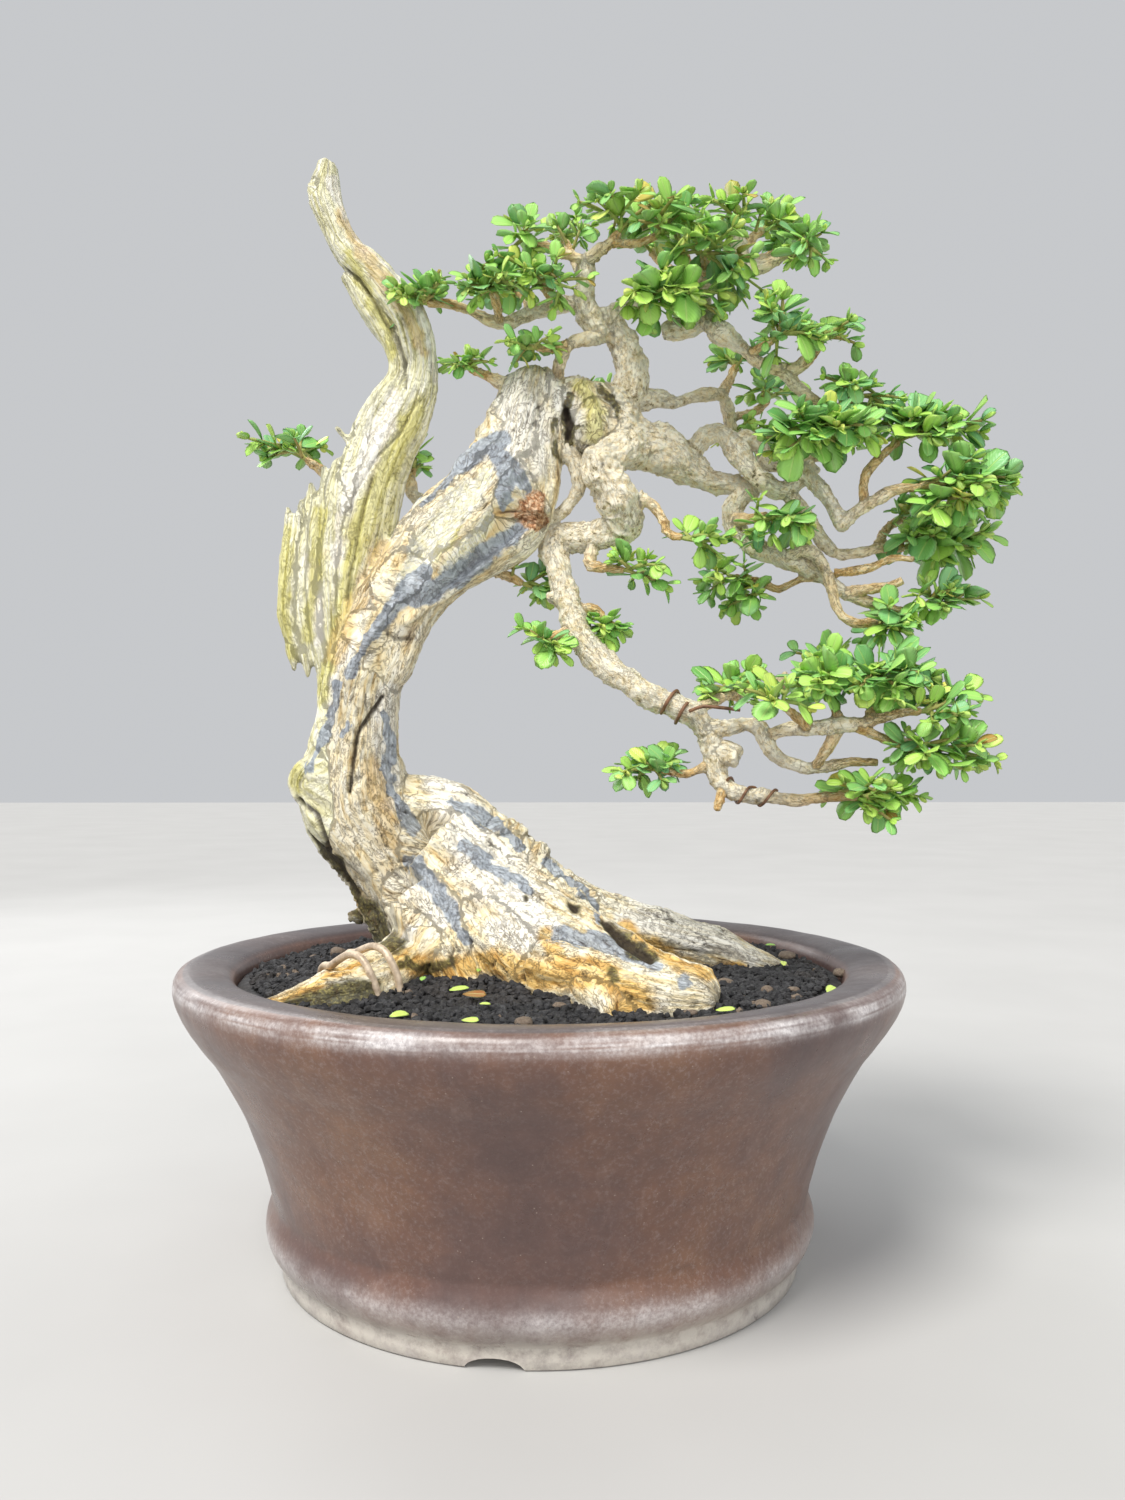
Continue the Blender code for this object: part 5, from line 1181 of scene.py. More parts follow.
def strokes_share(spots, strokes):
    """The greatest share that any of the strokes gives."""
    share = np.zeros(len(spots))
    for stroke in strokes:
        share = np.maximum(share, stroke_share(spots, stroke))
    return share


def lump(across, up, back, radius):
    """A ball, drawn as a line whose radius swells and shrinks again."""
    place, radius = route([(across, up, back, radius)])[0]
    axis = Vector((0.2, -0.3, 0.9)).normalized()
    return [(place + axis * radius * math.cos(a), max(radius * math.sin(a), 0.0002))
            for a in (0.12, 0.5, 0.9, 1.35, 1.8, 2.25, 2.65, 3.02)]


def wood_groups():
    """(group, line) of everything in the thick wood."""
    made = []
    for group, routes in (("trunk", TRUNK), ("burl", BURL), ("root", {**ROOTS, **FLANKS}),
                          ("dead", {**DEADWOOD, **FILLS}), ("knot", KNOTS)):
        for name in sorted(routes):
            made.append((group, rounded(smooth(route(routes[name]), 6))))
    for place in LUMPS:
        made.append(("knot", lump(*place)))
    for name in COLLARS:
        points = LIMBS.get(name) or TWIGS[name]
        made.append(("collar", smooth(route(points[:3], 0.97), 4)))
    return made


def branch_groups():
    """(group, line) of every limb and twig, a thick twig counting as a limb."""
    made = []
    for group, routes in (("limb", LIMBS), ("twig", TWIGS)):
        for name in sorted(routes):
            line = smooth(route(routes[name]), 4)
            thick = max(r for _, r in line) >= TWIG_RADIUS
            made.append(("limb" if thick else group, line))
    return made


def skin(name, parts, voxel, rounds, look):
    """One closed skin round overlapping tubes, smoothed."""
    item = add_piece(name, *gathered(parts), look)
    step = item.modifiers.new("skin", "REMESH")
    step.mode = "VOXEL"
    step.voxel_size = voxel
    step.use_smooth_shade = True
    apply_modifiers(item)
    step = item.modifiers.new("soften", "SMOOTH")
    step.factor = 0.5
    step.iterations = rounds
    apply_modifiers(item)
    return item


def thin(item, limit):
    """Collapses the flattest parts of a skin until it has at most this many triangles."""
    count = sum(len(face.vertices) - 2 for face in item.data.polygons)
    if count > limit:
        step = item.modifiers.new("thin", "DECIMATE")
        step.ratio = limit / count
        apply_modifiers(item)
        item.data.shade_smooth()


def bark_relief(item, grain):
    """Raises the skin into flutes, furrows and lumps along the grain, and paints the masks."""
    points, normals = mesh_arrays(item)
    found = grain.nearest(points)
    group = np.array(grain.group)[found]
    radius = np.array(grain.radius)[found] / MM
    own = grain.unrolled(points, found)
    dead = (group == "dead").astype(float)
    trunk = np.isin(group, ("trunk", "root", "knot", "collar")).astype(float)
    limb = np.isin(group, ("limb", "collar", "burl")).astype(float)
    twig = np.clip((2.9 - radius) / 0.9, 0.0, 1.0) * (group != "dead") * (group != "root")
    thick = np.clip((radius - 2.0) / 8.0, 0.0, 1.0)

    # Noise drawn out along the grain, and even noise for lumps and pits.
    long_wave = cloud(own, (150, 150, 16), 3)
    furrow_wave = cloud(own + 5.0, (190, 190, 45), 4)
    fine_wave = cloud(own + 9.0, (620, 620, 150), 3)
    lump_wave = cloud(points, (75, 75, 75), 3)
    pits = cloud(points + 3.0, (330, 330, 330), 3)

    furrow = np.exp(-(furrow_wave / 0.10) ** 2) * np.clip(0.35 + lump_wave * 1.4, 0.0, 1.0)
    groove = np.exp(-(long_wave / 0.08) ** 2)
    spots = seen(points)
    facing = np.clip(towards_eye(points, normals) * 4.0, 0.0, 1.0)
    thick_wood = np.isin(group, ("trunk", "burl", "root", "dead", "knot")).astype(float) * facing

    # Heights in mm: flutes in deadwood, furrows and flakes in bark, lumps and nodes on limbs.
    plate = ((spots[:, 0] < PLATES_RIGHT) & (spots[:, 1] > PLATES_TOP)
             & (spots[:, 1] < PLATES_FOOT)).astype(float)
    groove = groove * (1 - 0.7 * plate)
    height = dead * (long_wave * (0.9 - 0.5 * plate) - groove * 0.7 + fine_wave * 0.32 + lump_wave * 0.7)
    flake = 1.0 - np.abs(cloud(own + 17.0, (240, 240, 120), 3)) * 2.2
    height += trunk * thick * (-furrow * 1.1 + long_wave * 0.6 + flake * 0.45 + lump_wave * 1.0)
    run = own[:, 2] / 0.0085 + cloud(points + 2.0, (60, 60, 60), 2) * 2.2
    node = np.exp(-((run % 1.0 - 0.5) / 0.12) ** 2)
    wide = np.minimum(radius, 8.0)
    height += limb * (lump_wave * 0.38 * wide + fine_wave * 0.25 + pits * 0.20 + node * 0.10 * wide)
    height += (group == "burl") * (pits * 0.5 - furrow * 0.8)
    height += (group == "twig") * (lump_wave * 0.30 * radius + node * 0.24 * radius
                                   + fine_wave * 0.22 + pits * 0.16)
    height += (group == "knot") * (pits * 1.0 - np.exp(-(pits / 0.08) ** 2) * 0.7)
    height *= 1 - 0.75 * strokes_share(spots, PALE_WOUND) * thick_wood
    carved = np.zeros(len(points))
    for depth, stroke in GROOVES:
        carved += depth * stroke_share(spots, stroke) ** 1.5
    height -= carved * thick_wood
    rise = np.clip(height, -3.5, 2.2) * MM
    set_points(item, points + normals * rise[:, None])

    # The masks that the bark's look reads, the strokes' edges frayed by noise.
    # Cracks, partly painted shade: furrows, grooves, pits and carved grooves are darkened by their depth.
    crack_and_shade = trunk * furrow * 0.8 * thick + dead * groove * 0.5 + limb * np.clip(-pits - 0.25, 0, 1)
    crack_and_shade = np.maximum(crack_and_shade, np.clip(carved / 2.0, 0, 1) * thick_wood * (carved > 0)
                       * (1 - strokes_share(spots, PALE_WOUND)))
    wander = np.stack([cloud(points + 1.0, (160,) * 3, 3), cloud(points + 7.0, (160,) * 3, 3)], axis=1)
    frayed = spots + wander * 5.0
    set_mask(item, "grain", own, "FLOAT_VECTOR")
    set_mask(item, "dead", dead)
    set_mask(item, "limb", np.maximum(limb, (group == "twig") * 1.0) * (1 - twig))
    set_mask(item, "twig", twig)
    set_mask(item, "rough", trunk)
    set_mask(item, "crack_and_shade", crack_and_shade)
    # Of these strokes, olive and moss also lay painted shade in the grooves.
    for name, strokes in (("paste", PASTE), ("wound", PALE_WOUND), ("olive_and_shade", OLIVE_AND_SHADE),
                          ("stain", OCHRE_STAIN), ("bleach", BLEACH), ("orange", ORANGE),
                          ("moss_and_shade", MOSS_AND_SHADE), ("callus", CALLUS)):
        set_mask(item, name, strokes_share(frayed, strokes) * thick_wood)
    return points, normals, spots


def add_back_masks(item):
    """Goes on with the coats over the sides and back, which the front's strokes don't reach."""
    points, normals = mesh_arrays(item)
    hidden = np.clip(0.25 - towards_eye(points, normals) * 4.0, 0.0, 1.0)
    live = mask_of(item, "rough")
    patches = cloud(points + 13.0, (38, 38, 26), 3)
    low = np.clip((0.140 - points[:, 2]) / 0.020, 0.0, 1.0)
    for name, extra in (("paste", np.clip(patches * 2.4 - 0.35, 0, 1)),
                        ("bleach", np.clip(-patches * 2.0 - 0.1, 0, 1)),
                        ("orange", low)):
        values = np.maximum(mask_of(item, name), extra * hidden * live)
        item.data.attributes[name].data.foreach_set("value", values.astype(np.float32))


def make_trunk(look):
    """Trunk, burl, roots, deadwood and knots as one skin, cut flat inside the soil."""
    groups = wood_groups()
    sides = {"trunk": 36, "burl": 30, "root": 30, "dead": 22, "knot": 16, "collar": 16}
    flute = {"trunk": 0.05, "burl": 0.0, "root": 0.07, "dead": 0.04, "knot": 0.0, "collar": 0.0}
    order, parts = {}, []
    for group, line in groups:
        i = order.get(group, 0)
        order[group] = i + 1
        parts.append(tube(line, sides[group], flute[group], 5 + i % 3, 60.0, i * 0.7))
    item = skin("wood_trunk", parts, TRUNK_VOXEL, 4, look)
    low = Vector(OFFSET) + Vector((0, 0, WOOD_FOOT / 2))
    bpy.ops.mesh.primitive_cube_add(size=1.0, location=low)
    block = bpy.context.object
    block.scale = (0.5, 0.5, WOOD_FOOT)
    cut(item, [block], "MANIFOLD")
    bark_relief(item, Grain(groups))
    add_back_masks(item)
    thin(item, TRUNK_TRIANGLES)
    item.data.shade_smooth()
    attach(item, "root")
    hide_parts("wood")
    return item


def make_branches(look):
    """Every limb and twig as one skin, with lichen on damp patches, laid thicker on the undersides and
    inside the crown as painted shade.
    """
    groups = branch_groups()
    parts = [tube(line, 14) for _, line in groups]
    item = skin("wood_branches", parts, BRANCH_VOXEL, 2, look)
    points, normals, spots = bark_relief(item, Grain(groups))
    damp = np.clip(cloud(points + 21.0, (45,) * 3, 3) * 1.6 + 0.30, 0.0, 1.0)
    # Lichen is laid thicker on the undersides and inside the crown, as painted shade.
    below = np.clip(0.35 - normals[:, 2], 0.0, 1.0)
    lichen_and_shade = damp * (0.45 + 0.6 * below) * np.clip((0.24 - np.abs(points[:, 0])) * 9, 0, 1)
    inner_shade = strokes_share(spots, INNER_SHADE)
    set_mask(item, "lichen_and_shade", np.clip(lichen_and_shade * 0.65 + inner_shade * 0.7 * damp, 0, 1))
    thin(item, BRANCH_TRIANGLES)
    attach(item, "root")
    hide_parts("wood")
    return item


def blade_template():
    """Points (across, along, upper or lower) and faces of a unit leaf, closed round its rim."""
    rows, columns = LEAF_ROWS, LEAF_COLUMNS
    along = [1.0 - (1.0 - r / rows) ** 1.35 for r in range(rows + 1)]
    points, upper, rib = [], {}, {}
    for r in range(rows + 1):
        for c in range(columns + 1):
            rim = r in (0, rows) or c in (0, columns)
            upper[r, c] = len(points)
            points.append((2 * c / columns - 1, along[r], 0.0 if rim else 1.0))
    for r in range(rows + 1):
        rib[r] = upper[r, columns // 2]
        if 0 < r < rows:
            rib[r] = len(points)
            points.append((0.0, along[r], -1.0))
    faces = []
    for r in range(rows):
        for c in range(columns):
            faces.append((upper[r, c], upper[r, c + 1], upper[r + 1, c + 1], upper[r + 1, c]))
        faces.append((rib[r], upper[r, 0], upper[r + 1, 0], rib[r + 1]))
        faces.append((upper[r, columns], rib[r], rib[r + 1], upper[r + 1, columns]))
    return np.array(points), np.array(faces)


BLADE_POINTS, BLADE_FACES = blade_template()


class Foliage:
    """Leaves and shoots of one spray, gathered before they become a mesh."""

    def __init__(self, dice):
        self.dice = dice
        self.points, self.faces, self.blade, self.hue, self.under, self.kind = [], [], [], [], [], []
        self.count = 0

    def put(self, points, faces, blade, hue, under, kind):
        self.faces.append(faces + self.count)
        self.points.append(points)
        self.blade.append(blade)
        self.hue.append(np.full(len(points), hue))
        self.under.append(under)
        self.kind.append(np.full(len(faces), kind))
        self.count += len(points)

    def leaf(self, base, along, up, length, width, hue):
        """An obovate blade, folded a little along its rib and drooping to its tip."""
        dice = self.dice
        along = along.normalized()
        across = along.cross(up).normalized()
        up = across.cross(along)
        u, t, face = BLADE_POINTS.T
        outline = (0.02 + t) ** 0.58 * np.clip(1.0 - t ** 2.4, 0.0, 1.0) ** 0.52 + 0.03
        outline = outline / outline.max()
        fold = dice.uniform(0.06, 0.26)
        droop = dice.uniform(-0.04, 0.24)
        cup = dice.uniform(-0.02, 0.16)
        twist = dice.uniform(-0.18, 0.18)
        x = u * outline * width / 2
        z = fold * np.abs(x) - droop * length * t ** 2 + cup * np.abs(u) ** 2 * width * 0.4
        z = z + twist * x * t * 1.5 + face * LEAF_THICKNESS / 2
        y = t * length * (1 - 0.1 * abs(droop))
        points = (np.array(base)[None, :] + np.outer(x, across) + np.outer(y, along) + np.outer(z, up))
        blade = np.stack([u, t, np.zeros_like(u)], axis=1)
        self.put(points, BLADE_FACES, blade, hue, (face < 0).astype(float), 0)

    def stem(self, line, hue):
        sides = 6
        points, faces = tube(line, sides)
        quads = np.array([f for f in faces if len(f) == 4])
        ends = [f for f in faces if len(f) == sides]
        caps = np.array([(f[0], f[i], f[i + 1], f[i + 2]) for f in ends for i in (1, 3)])
        points = np.array([tuple(p) for p in points])
        self.put(points, np.concatenate([quads, caps]), np.zeros((len(points), 3)), hue,
                 np.zeros(len(points)), 1)

    def finish(self, name, looks):
        points = np.concatenate(self.points) + np.array(OFFSET)
        faces = np.concatenate(self.faces)
        mesh = bpy.data.meshes.new(name)
        mesh.from_pydata(points.tolist(), [], faces.tolist())
        mesh.update()
        item = bpy.data.objects.new(name, mesh)
        bpy.context.scene.collection.objects.link(item)
        for look in looks:
            mesh.materials.append(look)
        mesh.polygons.foreach_set("material_index", np.concatenate(self.kind).astype(np.int32))
        set_mask(item, "blade", np.concatenate(self.blade), "FLOAT_VECTOR")
        set_mask(item, "hue", np.concatenate(self.hue))
        set_mask(item, "under", np.concatenate(self.under))
        mesh.shade_smooth()
        return item


def arc(start, ahead, stop, steps, swell):
    """A curved line of places from start, leaving along ahead, to stop."""
    reach = (stop - start).length
    bend = start + ahead.normalized() * reach * swell
    line = []
    for i in range(steps + 1):
        t = i / steps
        line.append(start * (1 - t) ** 2 + bend * 2 * t * (1 - t) + stop * t * t)
    return line


def leafy_shoot(foliage, line, size, young, bare):
    """A shoot along a line, bare at first, then with pairs of leaves, each crossed over the last."""
    dice = foliage.dice
    steps = len(line) - 1
    foliage.stem([(p, SHOOT_RADIUS * (1 - 0.45 * i / steps) + 0.0001) for i, p in enumerate(line)],
                 0.35 + 0.65 * young)
    pairs = max(2, round((line[-1] - line[0]).length * (1 - bare) / LEAF_PITCH))
    turn = dice.uniform(0, math.pi)
    for n in range(pairs):
        share = bare + (1 - bare) * (n + 0.9) / pairs
        spot = share * steps
        i = min(int(spot), steps - 1)
        place = line[i].lerp(line[i + 1], spot - i)
        ahead = (line[i + 1] - line[i]).normalized()
        side = ahead.cross(Vector((0, 0, 1)))
        side = side.normalized() if side.length > 0.1 else Vector((1, 0, 0))
        up = side.cross(ahead)
        angle = turn + n * math.pi / 2
        out = side * math.cos(angle) + up * math.sin(angle) * 0.75
        last = (n + 1) / pairs
        for sign in (1, -1):
            length = size * dice.uniform(0.66, 1.24) * (1.0 - 0.40 * last ** 2)
            lean = dice.uniform(0.25, 0.7) + 0.35 * last
            along = (out * sign + ahead * lean + Vector((0, 0, dice.uniform(-0.1, 0.30)))).normalized()
            sky = Vector((along.x * 0.35, along.y * 0.35 - 0.45, 1.0))
            sky += Vector((dice.gauss(0, 0.28), dice.gauss(0, 0.28), 0))
            sky -= along * sky.dot(along)
            if sky.length < 0.15:
                sky = along.orthogonal()
            hue = min(0.9, max(0.0, dice.gauss(0.23 + 0.40 * young * last + 0.08 * young, 0.14)))
            if dice.random() < YELLOW_SHARE:
                hue = dice.uniform(0.93, 1.0)
            foliage.leaf(place + along * 0.0006, along, sky.normalized(), length,
                         length * dice.uniform(0.54, 0.84), hue)
    tip, before = line[-1], line[-2]
    ahead = (tip - before).normalized()
    for n in range(2):
        side = ahead.orthogonal().normalized()
        angle = turn + (pairs + 0.5 * n) * math.pi
        out = side * math.cos(angle) + ahead.cross(side) * math.sin(angle)
        along = (out * 0.8 + ahead).normalized()
        foliage.leaf(tip, along, (ahead - along * ahead.dot(along)).normalized() * -1.0,
                     size * dice.uniform(0.32, 0.48), size * 0.24, min(1.0, 0.62 + 0.3 * young))


def make_sprays(looks):
    """Every leafy spray: its main shoots reach the drawn tips, and side shoots fill it out."""
    for number, name in enumerate(sorted(SPRAYS)):
        dice = random.Random(SEED * 1000 + number)
        foliage = Foliage(dice)
        places = [p for p, _ in route((TWIGS.get(name) or LIMBS[name])[-2:])]
        end, ahead = places[1], (places[1] - places[0]).normalized()
        size = LEAF_SIZE.get(name, LEAF_LENGTH)
        spread = SPREAD.get(name, SHOOT_SPREAD)
        for tip in [on_view(*place) for place in SPRAYS[name] + MORE_TIPS.get(name, [])]:
            main_line = arc(end - ahead * 0.001, ahead, tip, 6, 0.45)
            leafy_shoot(foliage, main_line, size, dice.uniform(0.3, 1.0), 0.35)
            for n in range(SIDE_SHOOTS):
                start = main_line[dice.randint(2, 5)]
                angle = dice.uniform(0, 2 * math.pi)
                away = Vector((math.cos(angle) * spread, math.sin(angle) * spread * 1.25,
                               dice.uniform(-0.0060, 0.0035)))
                goal = start.lerp(tip, 0.6) + away
                way = (goal - start).normalized() + Vector((0, 0, 0.2))
                leafy_shoot(foliage, arc(start, way, goal, 4, 0.5), size * dice.uniform(0.85, 1.05),
                            dice.uniform(0.0, 1.0), 0.25)
        bare = (places[1] - places[0]).length
        for n in range(min(4, int(bare / TWIG_LEAF_PITCH))):
            share = 1.0 - (n + dice.uniform(0.3, 1.0)) * TWIG_LEAF_PITCH / bare
            start = places[0].lerp(places[1], max(share, 0.1))
            angle = dice.uniform(0, 2 * math.pi)
            away = Vector((math.cos(angle) * 0.5, math.sin(angle), 0.55)).normalized() + ahead * 0.5
            goal = start + away.normalized() * dice.uniform(0.007, 0.011)
            leafy_shoot(foliage, arc(start, away, goal, 3, 0.5), size * dice.uniform(0.75, 0.95),
                        dice.uniform(0.2, 1.0), 0.45)
        item = foliage.finish("leaves_" + name, looks)
        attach(item, "root")
        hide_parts("spray_" + name)


def lathe(profile, segments):
    """Closed body turned from (radius, height) points listed anticlockwise in the half plane."""
    points, faces = [], []
    for radius, height in profile:
        for k in range(segments):
            angle = 2 * math.pi * k / segments
            points.append((radius * math.cos(angle), radius * math.sin(angle), height))
    rows = len(profile)
    for i in range(rows):
        for k in range(segments):
            a = i * segments + k
            b = i * segments + (k + 1) % segments
            c = (i + 1) % rows * segments
            faces.append((a, b, c + (k + 1) % segments, c + k))
    return points, faces


def pot_profile():
    """(radius, height) points round the pot's wall, from the drain hole out, up and back inside."""
    foot = [(DRAIN_RADIUS, 0.006), (0.060, 0.006), (0.0980, 0.006), (0.0985, 0.0053), (0.0988, 0.0006),
            (0.0994, 0.0), (0.1068, 0.0), (0.1079, 0.0008), (0.1083, 0.0045), (0.1087, 0.0083)]
    band = curve_through([(0.1098, 0.0093), (0.1122, 0.0120), (0.1140, 0.0160), (0.1147, 0.0200),
                          (0.1138, 0.0245), (0.1124, 0.0280), (0.1119, 0.0305), (0.1126, 0.0335)], 4)
    wall = curve_through([(0.1134, 0.0375), (0.1168, 0.0500), (0.1208, 0.0610), (0.1254, 0.0720),
                          (0.1350, 0.0893), (0.1408, 0.0972), (0.1450, 0.1030)], 5)
    lip = curve_through([(0.1477, 0.1075), (0.1498, 0.1122), (0.1509, 0.1165), (0.1506, 0.1200),
                         (0.1486, 0.1228), (0.1448, 0.1239), (0.1400, 0.1240), (0.1345, 0.1234),
                         (0.1300, 0.1222), (0.1274, 0.1200)], 5)
    inside = [(0.1266, 0.1170), (0.1210, 0.0920), (0.1060, 0.0500), (0.0970, FLOOR_TOP)]
    return foot + band + wall + lip + inside + [(DRAIN_RADIUS, FLOOR_TOP)]


def low_arch(radius, length, stretch, sides=24):
    """A flattened round bar along y, which cuts a low arch."""
    points, faces = [], []
    for end in (-length / 2, length / 2):
        for k in range(sides):
            angle = 2 * math.pi * k / sides
            points.append((radius * math.cos(angle), end, radius * stretch * math.sin(angle)))
    for k in range(sides):
        n = (k + 1) % sides
        faces.append((k, k + sides, n + sides, n))
    faces.append(tuple(range(sides)))
    faces.append(tuple(reversed(range(sides, 2 * sides))))
    return points, faces


def make_pot(look):
    """The turned pot, its foot ring notched and its wall a little uneven."""
    points, faces = lathe(pot_profile(), POT_SEGMENTS)
    pot = add_piece("fine_pot", points, faces, look)
    cutters = []
    for i in range(FOOT_NOTCHES):
        angle = FIRST_NOTCH_ANGLE + i * 2 * math.pi / FOOT_NOTCHES
        shape, sides = low_arch(FOOT_NOTCH_WIDTH / 2, FOOT_NOTCH_LENGTH,
                                2 * FOOT_NOTCH_HEIGHT / FOOT_NOTCH_WIDTH)
        turn = (Matrix.Translation((FOOT_MIDDLE * math.cos(angle), FOOT_MIDDLE * math.sin(angle), 0.0))
                @ Matrix.Rotation(angle - math.pi / 2, 4, "Z"))
        cutters.append(add_piece(f"notch_{i}", [turn @ Vector(p) for p in shape], sides))
    cut(pot, cutters)
    points, normals = mesh_arrays(pot)
    uneven = cloud(points, (22, 22, 22), 3) * 0.00035 + cloud(points + 4.0, (150, 150, 150), 2) * 0.00006
    uneven *= np.clip(points[:, 2] / 0.01, 0, 1)
    set_points(pot, points + normals * uneven[:, None])

    # Where the clay is worn, with a painted sheen on the lip and band: lip, band and foot, and a darker flat
    # top.
    distance = np.hypot(points[:, 0], points[:, 1])
    turn = np.stack([points[:, 0] * 0.1, points[:, 1] * 0.1, points[:, 2] * 4.0], axis=1)
    streak = np.clip(0.8 + 0.9 * cloud(turn, (260,) * 3, 3), 0.2, 1.2)
    # The lip's and band's marks are a painted sheen; the foot's mark is wear.
    lip = np.exp(-((points[:, 2] - 0.1200) / 0.0030) ** 2) * (distance > 0.1440) * streak * 1.5
    band = np.exp(-((points[:, 2] - 0.0185) / 0.0045) ** 2) * (distance > 0.112)
    foot = np.clip((0.0085 - points[:, 2]) / 0.004, 0, 1) * (distance > 0.105)
    set_mask(pot, "worn_and_sheen", np.clip(0.72 * lip + 0.60 * band + 0.5 * foot, 0, 1))
    set_mask(pot, "top", np.clip((points[:, 2] - 0.1205) / 0.0015, 0, 1) * (distance < 0.1470) * 0.9)
    pot.data.shade_smooth()
    pot.data.set_sharp_from_angle(angle=math.radians(50))
    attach(pot, "root")
    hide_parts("pot")


def soil_height(x, y):
    """Height of the soil's top: a low mound with uneven waves on it."""
    away = ((x - MOUND_PLACE[0]) ** 2 + (y - MOUND_PLACE[1]) ** 2) / MOUND_SPREAD ** 2
    wave = math.sin(x * 97 + 1.3) * math.cos(y * 83 - 0.4) + 0.6 * math.sin(x * 190 + y * 151)
    return SOIL_EDGE + SOIL_MOUND * math.exp(-away) + SOIL_WAVE * wave


def ball(rounds):
    """Points and faces of a unit icosphere."""
    work = bmesh.new()
    bmesh.ops.create_icosphere(work, subdivisions=rounds, radius=1.0)
    work.verts.ensure_lookup_table()
    points = np.array([tuple(v.co) for v in work.verts])
    faces = np.array([[v.index for v in f.verts] for f in work.faces])
    work.free()
    return points, faces


def scatter(dice, pitch, limit, keep_off):
    """Jittered places on the soil, clear of the wood."""
    places = []
    rows = int(2 * limit / (pitch * GRIT_ROW)) + 2
    for j in range(rows):
        for i in range(int(2 * limit / pitch) + 2):
            x = -limit + pitch * (i + 0.5 * (j % 2)) + dice.uniform(-0.35, 0.35) * pitch
            y = -limit + pitch * GRIT_ROW * j + dice.uniform(-0.35, 0.35) * pitch
            if math.hypot(x, y) > limit:
                continue
            place = Vector((x, y, soil_height(x, y)))
            if not keep_off(place):
                places.append(place)
    return places


def make_grains(name, tree, look):
    """Crumbs of grit lying on the soil."""
    rounds, pitch, size, seed, sink = GRIT[name]
    dice = random.Random(seed)
    rng = np.random.default_rng(seed)

    def inside_wood(place):
        near, normal, _, _ = tree.find_nearest(place + OFFSET)
        return (place + OFFSET - near).dot(normal) < -0.0008

    unit, sides = ball(rounds)
    points, faces, stone = [], [], []
    for place in scatter(dice, pitch, SOIL_RADIUS - size[0] * 0.6, inside_wood):
        radius = dice.uniform(*size) / 2
        lumps = 1.0 + rng.uniform(-0.30, 0.26, len(unit))[:, None]
        stretch = np.array([dice.uniform(0.75, 1.25), dice.uniform(0.75, 1.25), dice.uniform(0.65, 1.0)])
        turn = np.array(Matrix.Rotation(dice.uniform(0, 6.28), 3, "Z")
                        @ Matrix.Rotation(dice.uniform(-0.6, 0.6), 3, "X"))
        grain = (unit * lumps * stretch * radius) @ turn.T
        centre = np.array(place) + (0, 0, radius * dice.uniform(*sink))
        faces.append(sides + len(points) * len(unit))
        points.append(grain + centre)
        stone.append(np.full(len(unit), 1.0 if dice.random() < STONE_SHARE else 0.0))
    item = add_piece(name, np.concatenate(points), np.concatenate(faces).tolist(), look, False)
    set_mask(item, "stone", np.concatenate(stone))
    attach(item, "root")


def on_soil(across, down):
    """The place on the soil that shows at a pixel of the photograph."""
    level = SOIL_EDGE + 0.5 * SOIL_MOUND
    reach = (EYE.z - level) / ((down - VIEW_CENTRE[1]) * PIXEL_MM * MM)
    return (across - VIEW_CENTRE[0]) * PIXEL_MM * MM * reach, -EYE.y * (reach - 1.0)


def make_pebbles(look):
    """Small round stones among the grit."""
    dice = random.Random(SEED)
    unit, sides = ball(3)
    points, faces = [], []
    places = [(*on_soil(x, y), radius) for x, y, radius in PEBBLES_SEEN]
    places += [(x * MM, y * MM, radius) for x, y, radius in PEBBLES_BEHIND]
    for x, y, radius in places:
        place = np.array((x, y, soil_height(x, y) + PEBBLE_RISE))
        stretch = np.array((dice.uniform(0.9, 1.2), dice.uniform(0.8, 1.0), dice.uniform(0.45, 0.7)))
        turn = np.array(Matrix.Rotation(dice.uniform(0, 3.1), 3, "Z"))
        wave = 1 + 0.16 * cloud(unit + 90 * x, (1.6,) * 3, 3)[:, None]
        faces.append(sides + len(points) * len(unit))
        points.append((unit * wave * stretch * radius * MM) @ turn.T + place)
    item = add_piece("pebbles", np.concatenate(points), np.concatenate(faces).tolist(), look)
    set_mask(item, "stone", np.ones(len(item.data.vertices)))
    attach(item, "root")


def make_fallen_leaves(looks):
    """Dropped leaves lying on the grit."""
    foliage = Foliage(random.Random(SEED + 1))
    places = [(*on_soil(x, y), *rest) for x, y, *rest in FALLEN_SEEN]
    places += [(x * MM, y * MM, *rest) for x, y, *rest in FALLEN_BEHIND]
    for x, y, angle, length, hue in places:
        base = Vector((x, y, soil_height(x, y) + FALLEN_RISE))
        along = Vector((math.cos(math.radians(angle)), math.sin(math.radians(angle)), 0.12))
        foliage.leaf(base, along, Vector((0.1, -0.35, 1.0)), length * MM, length * MM * 0.5, hue)
    item = foliage.finish("fallen_leaves", looks)
    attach(item, "root")


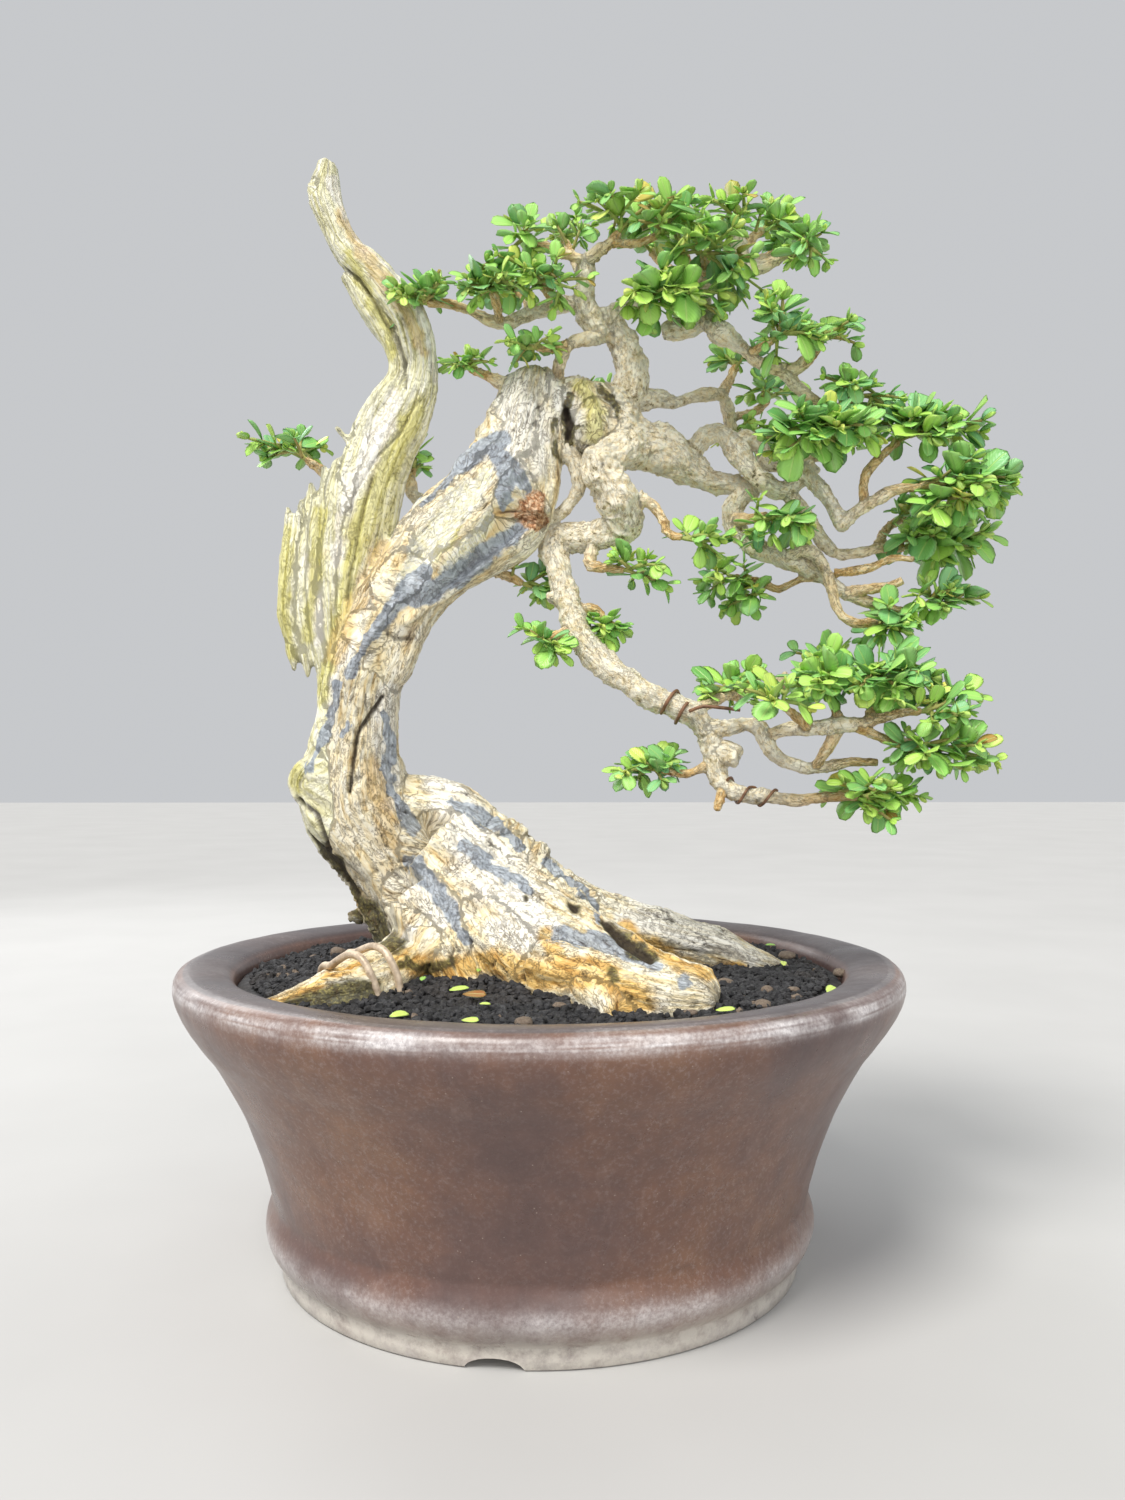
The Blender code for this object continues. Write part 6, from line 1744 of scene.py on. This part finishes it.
def wrapped(tree, axis, direction, angles, radius, ahead, spread=12, far=0.03):
    """Points of a wire bent round the wood: each lies clear of the skin, seen from the axis."""
    direction = direction.normalized()
    up = (Vector((0, 0, 1)) - direction * direction.z).normalized()
    side = up.cross(direction)
    points = []
    for i, degrees in enumerate(angles):
        centre = axis + direction * ahead * i / (len(angles) - 1)
        reach = 0.0
        for turn in (-spread, -spread / 2, 0, spread / 2, spread):
            angle = math.radians(degrees + turn)
            out = up * math.cos(angle) + side * math.sin(angle)
            hit = tree.ray_cast(centre + OFFSET + out * far, -out, far)
            if hit[0] is not None:
                reach = max(reach, far - hit[3])
        angle = math.radians(degrees)
        out = up * math.cos(angle) + side * math.sin(angle)
        points.append(centre + out * (reach + radius))
    for _ in range(2 if spread > 12 else 0):
        points[1:-1] = [(a + b * 2 + c) / 4 for a, b, c in zip(points, points[1:], points[2:])]
    return points


def make_wire(name, slot, path, radius, look, *replaced):
    """A round wire bent along a path of places."""
    line = smooth([(p, radius) for p in path], 4)
    item = add_piece(name, *tube(line, 14), look)
    item.data.set_sharp_from_angle(angle=math.radians(60))
    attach(item, "root")
    if replaced:
        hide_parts(*replaced)


def make_root_wires(tree, look):
    """Two arches over the left root, side by side, with their ends in the soil."""
    line = smooth(route(ROOTS["left_root"]), 5)
    before, after = [line[i][0] for i in ROOT_WIRE_WAY]
    direction = after - before
    for number, station in enumerate(ROOT_WIRE_STATIONS):
        place, _ = line[station]
        arch = wrapped(tree, place, direction, range(-75, 91, 15), ROOT_WIRE_RADIUS, 0.002, 30)
        across = (arch[-1] - arch[0]) * Vector((1, 1, 0))
        splay = across.normalized() * ROOT_WIRE_SPLAY
        sunk = SOIL_EDGE - ROOT_WIRE_DEPTH
        start, stop = arch[0] - splay, arch[-1] + splay
        path = [Vector((start.x, start.y, sunk)), *arch, Vector((stop.x, stop.y, sunk))]
        make_wire(f"fine_root_wire_{number + 1}", "root_wire_metal", path, ROOT_WIRE_RADIUS, look,
                  f"root_wire_{number + 1}")


def make_branch_wires(tree, look):
    """The wire round the low branch, its loose tail, and the wire turned round the branch below."""
    line = smooth(route(LIMBS["low_branch"]), 5)
    place, beyond = [line[i][0] for i in BRANCH_WIRE_WAY]
    path = wrapped(tree, place, beyond - place, range(-150, 330, 20), BRANCH_WIRE_RADIUS, 0.009)
    make_wire("fine_branch_wire", "branch_wire_metal", path, BRANCH_WIRE_RADIUS, look, "branch_wire")
    tail = [on_view(*place) for place in WIRE_TAIL]
    make_wire("branch_wire_tail", "branch_wire_metal", tail, BRANCH_WIRE_RADIUS, look)
    line = smooth(route(LIMBS["low_keel"]), 5)
    place, beyond = [line[i][0] for i in KEEL_WIRE_WAY]
    path = wrapped(tree, place, beyond - place, range(-60, 760, 20), KEEL_WIRE_RADIUS,
                   (beyond - place).length, far=0.006)
    make_wire("keel_wire", "branch_wire_metal", path, KEEL_WIRE_RADIUS, look)


def make_stage(look):
    bpy.ops.mesh.primitive_plane_add(size=FLOOR_SIZE, location=(0, 0, 0))
    floor = bpy.context.object
    floor.name = "floor"
    floor.data.materials.append(look)


def area_light(name, place, size, power, colour):
    data = bpy.data.lights.new(name, "AREA")
    data.shape = "DISK"
    data.size = size
    data.energy = power
    data.color = colour
    lamp = bpy.data.objects.new(name, data)
    lamp.location = place
    lamp.rotation_euler = (LIGHT_AIM - Vector(place)).to_track_quat("-Z", "Y").to_euler()
    bpy.context.scene.collection.objects.link(lamp)


def make_lights():
    world = bpy.data.worlds.new("soft_studio")
    world.use_nodes = True
    background = world.node_tree.nodes["Background"]
    background.inputs["Color"].default_value = SKY_COLOUR
    background.inputs["Strength"].default_value = SKY_POWER
    bpy.context.scene.world = world
    sun = bpy.data.lights.new("sun", "SUN")
    sun.energy = SUN_POWER
    sun.angle = SUN_WIDTH
    sun.color = SUN_COLOUR
    lamp = bpy.data.objects.new("sun", sun)
    lamp.rotation_euler = Vector(SUN_WAY).to_track_quat("-Z", "Y").to_euler()
    bpy.context.scene.collection.objects.link(lamp)
    for name, values in LAMPS.items():
        area_light(name, *values)


def make_camera():
    bpy.context.scene.view_settings.view_transform = "Standard"
    data = bpy.data.cameras.new("camera")
    data.lens = LENS
    data.sensor_width = SENSOR
    camera = bpy.data.objects.new("camera", data)
    camera.location = EYE + OFFSET
    camera.rotation_euler = (math.pi / 2 + EYE_PITCH, 0.0, EYE_YAW)
    bpy.context.scene.collection.objects.link(camera)
    bpy.context.scene.camera = camera


def surface_tree(item):
    """The piece's surface, for asking where it is."""
    return BVHTree.FromObject(item, bpy.context.evaluated_depsgraph_get())


def main():
    make_camera()
    make_lights()
    make_stage(floor_look())
    make_pot(clay_look())
    bark = bark_look()
    trunk = make_trunk(bark)
    branches = make_branches(bark)
    leaves = [leaf_look(), shoot_look()]
    make_sprays(leaves)
    grit = grit_look()
    for node, look in (("soil", grit), ("drain_mesh", plastic_look())):
        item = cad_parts[node]
        item.data.materials.clear()
        item.data.materials.append(look)
    tree = surface_tree(trunk)
    for name in GRIT:
        make_grains(name, tree, grit)
    make_pebbles(grit)
    make_fallen_leaves(leaves)
    make_root_wires(tree, metal_look("root_wire_metal_fine", tone(170, 150, 128), tone(240, 222, 198)))
    wire_metal = metal_look("branch_wire_metal_fine", tone(88, 62, 44), tone(150, 112, 84))
    make_branch_wires(surface_tree(branches), wire_metal)


main()
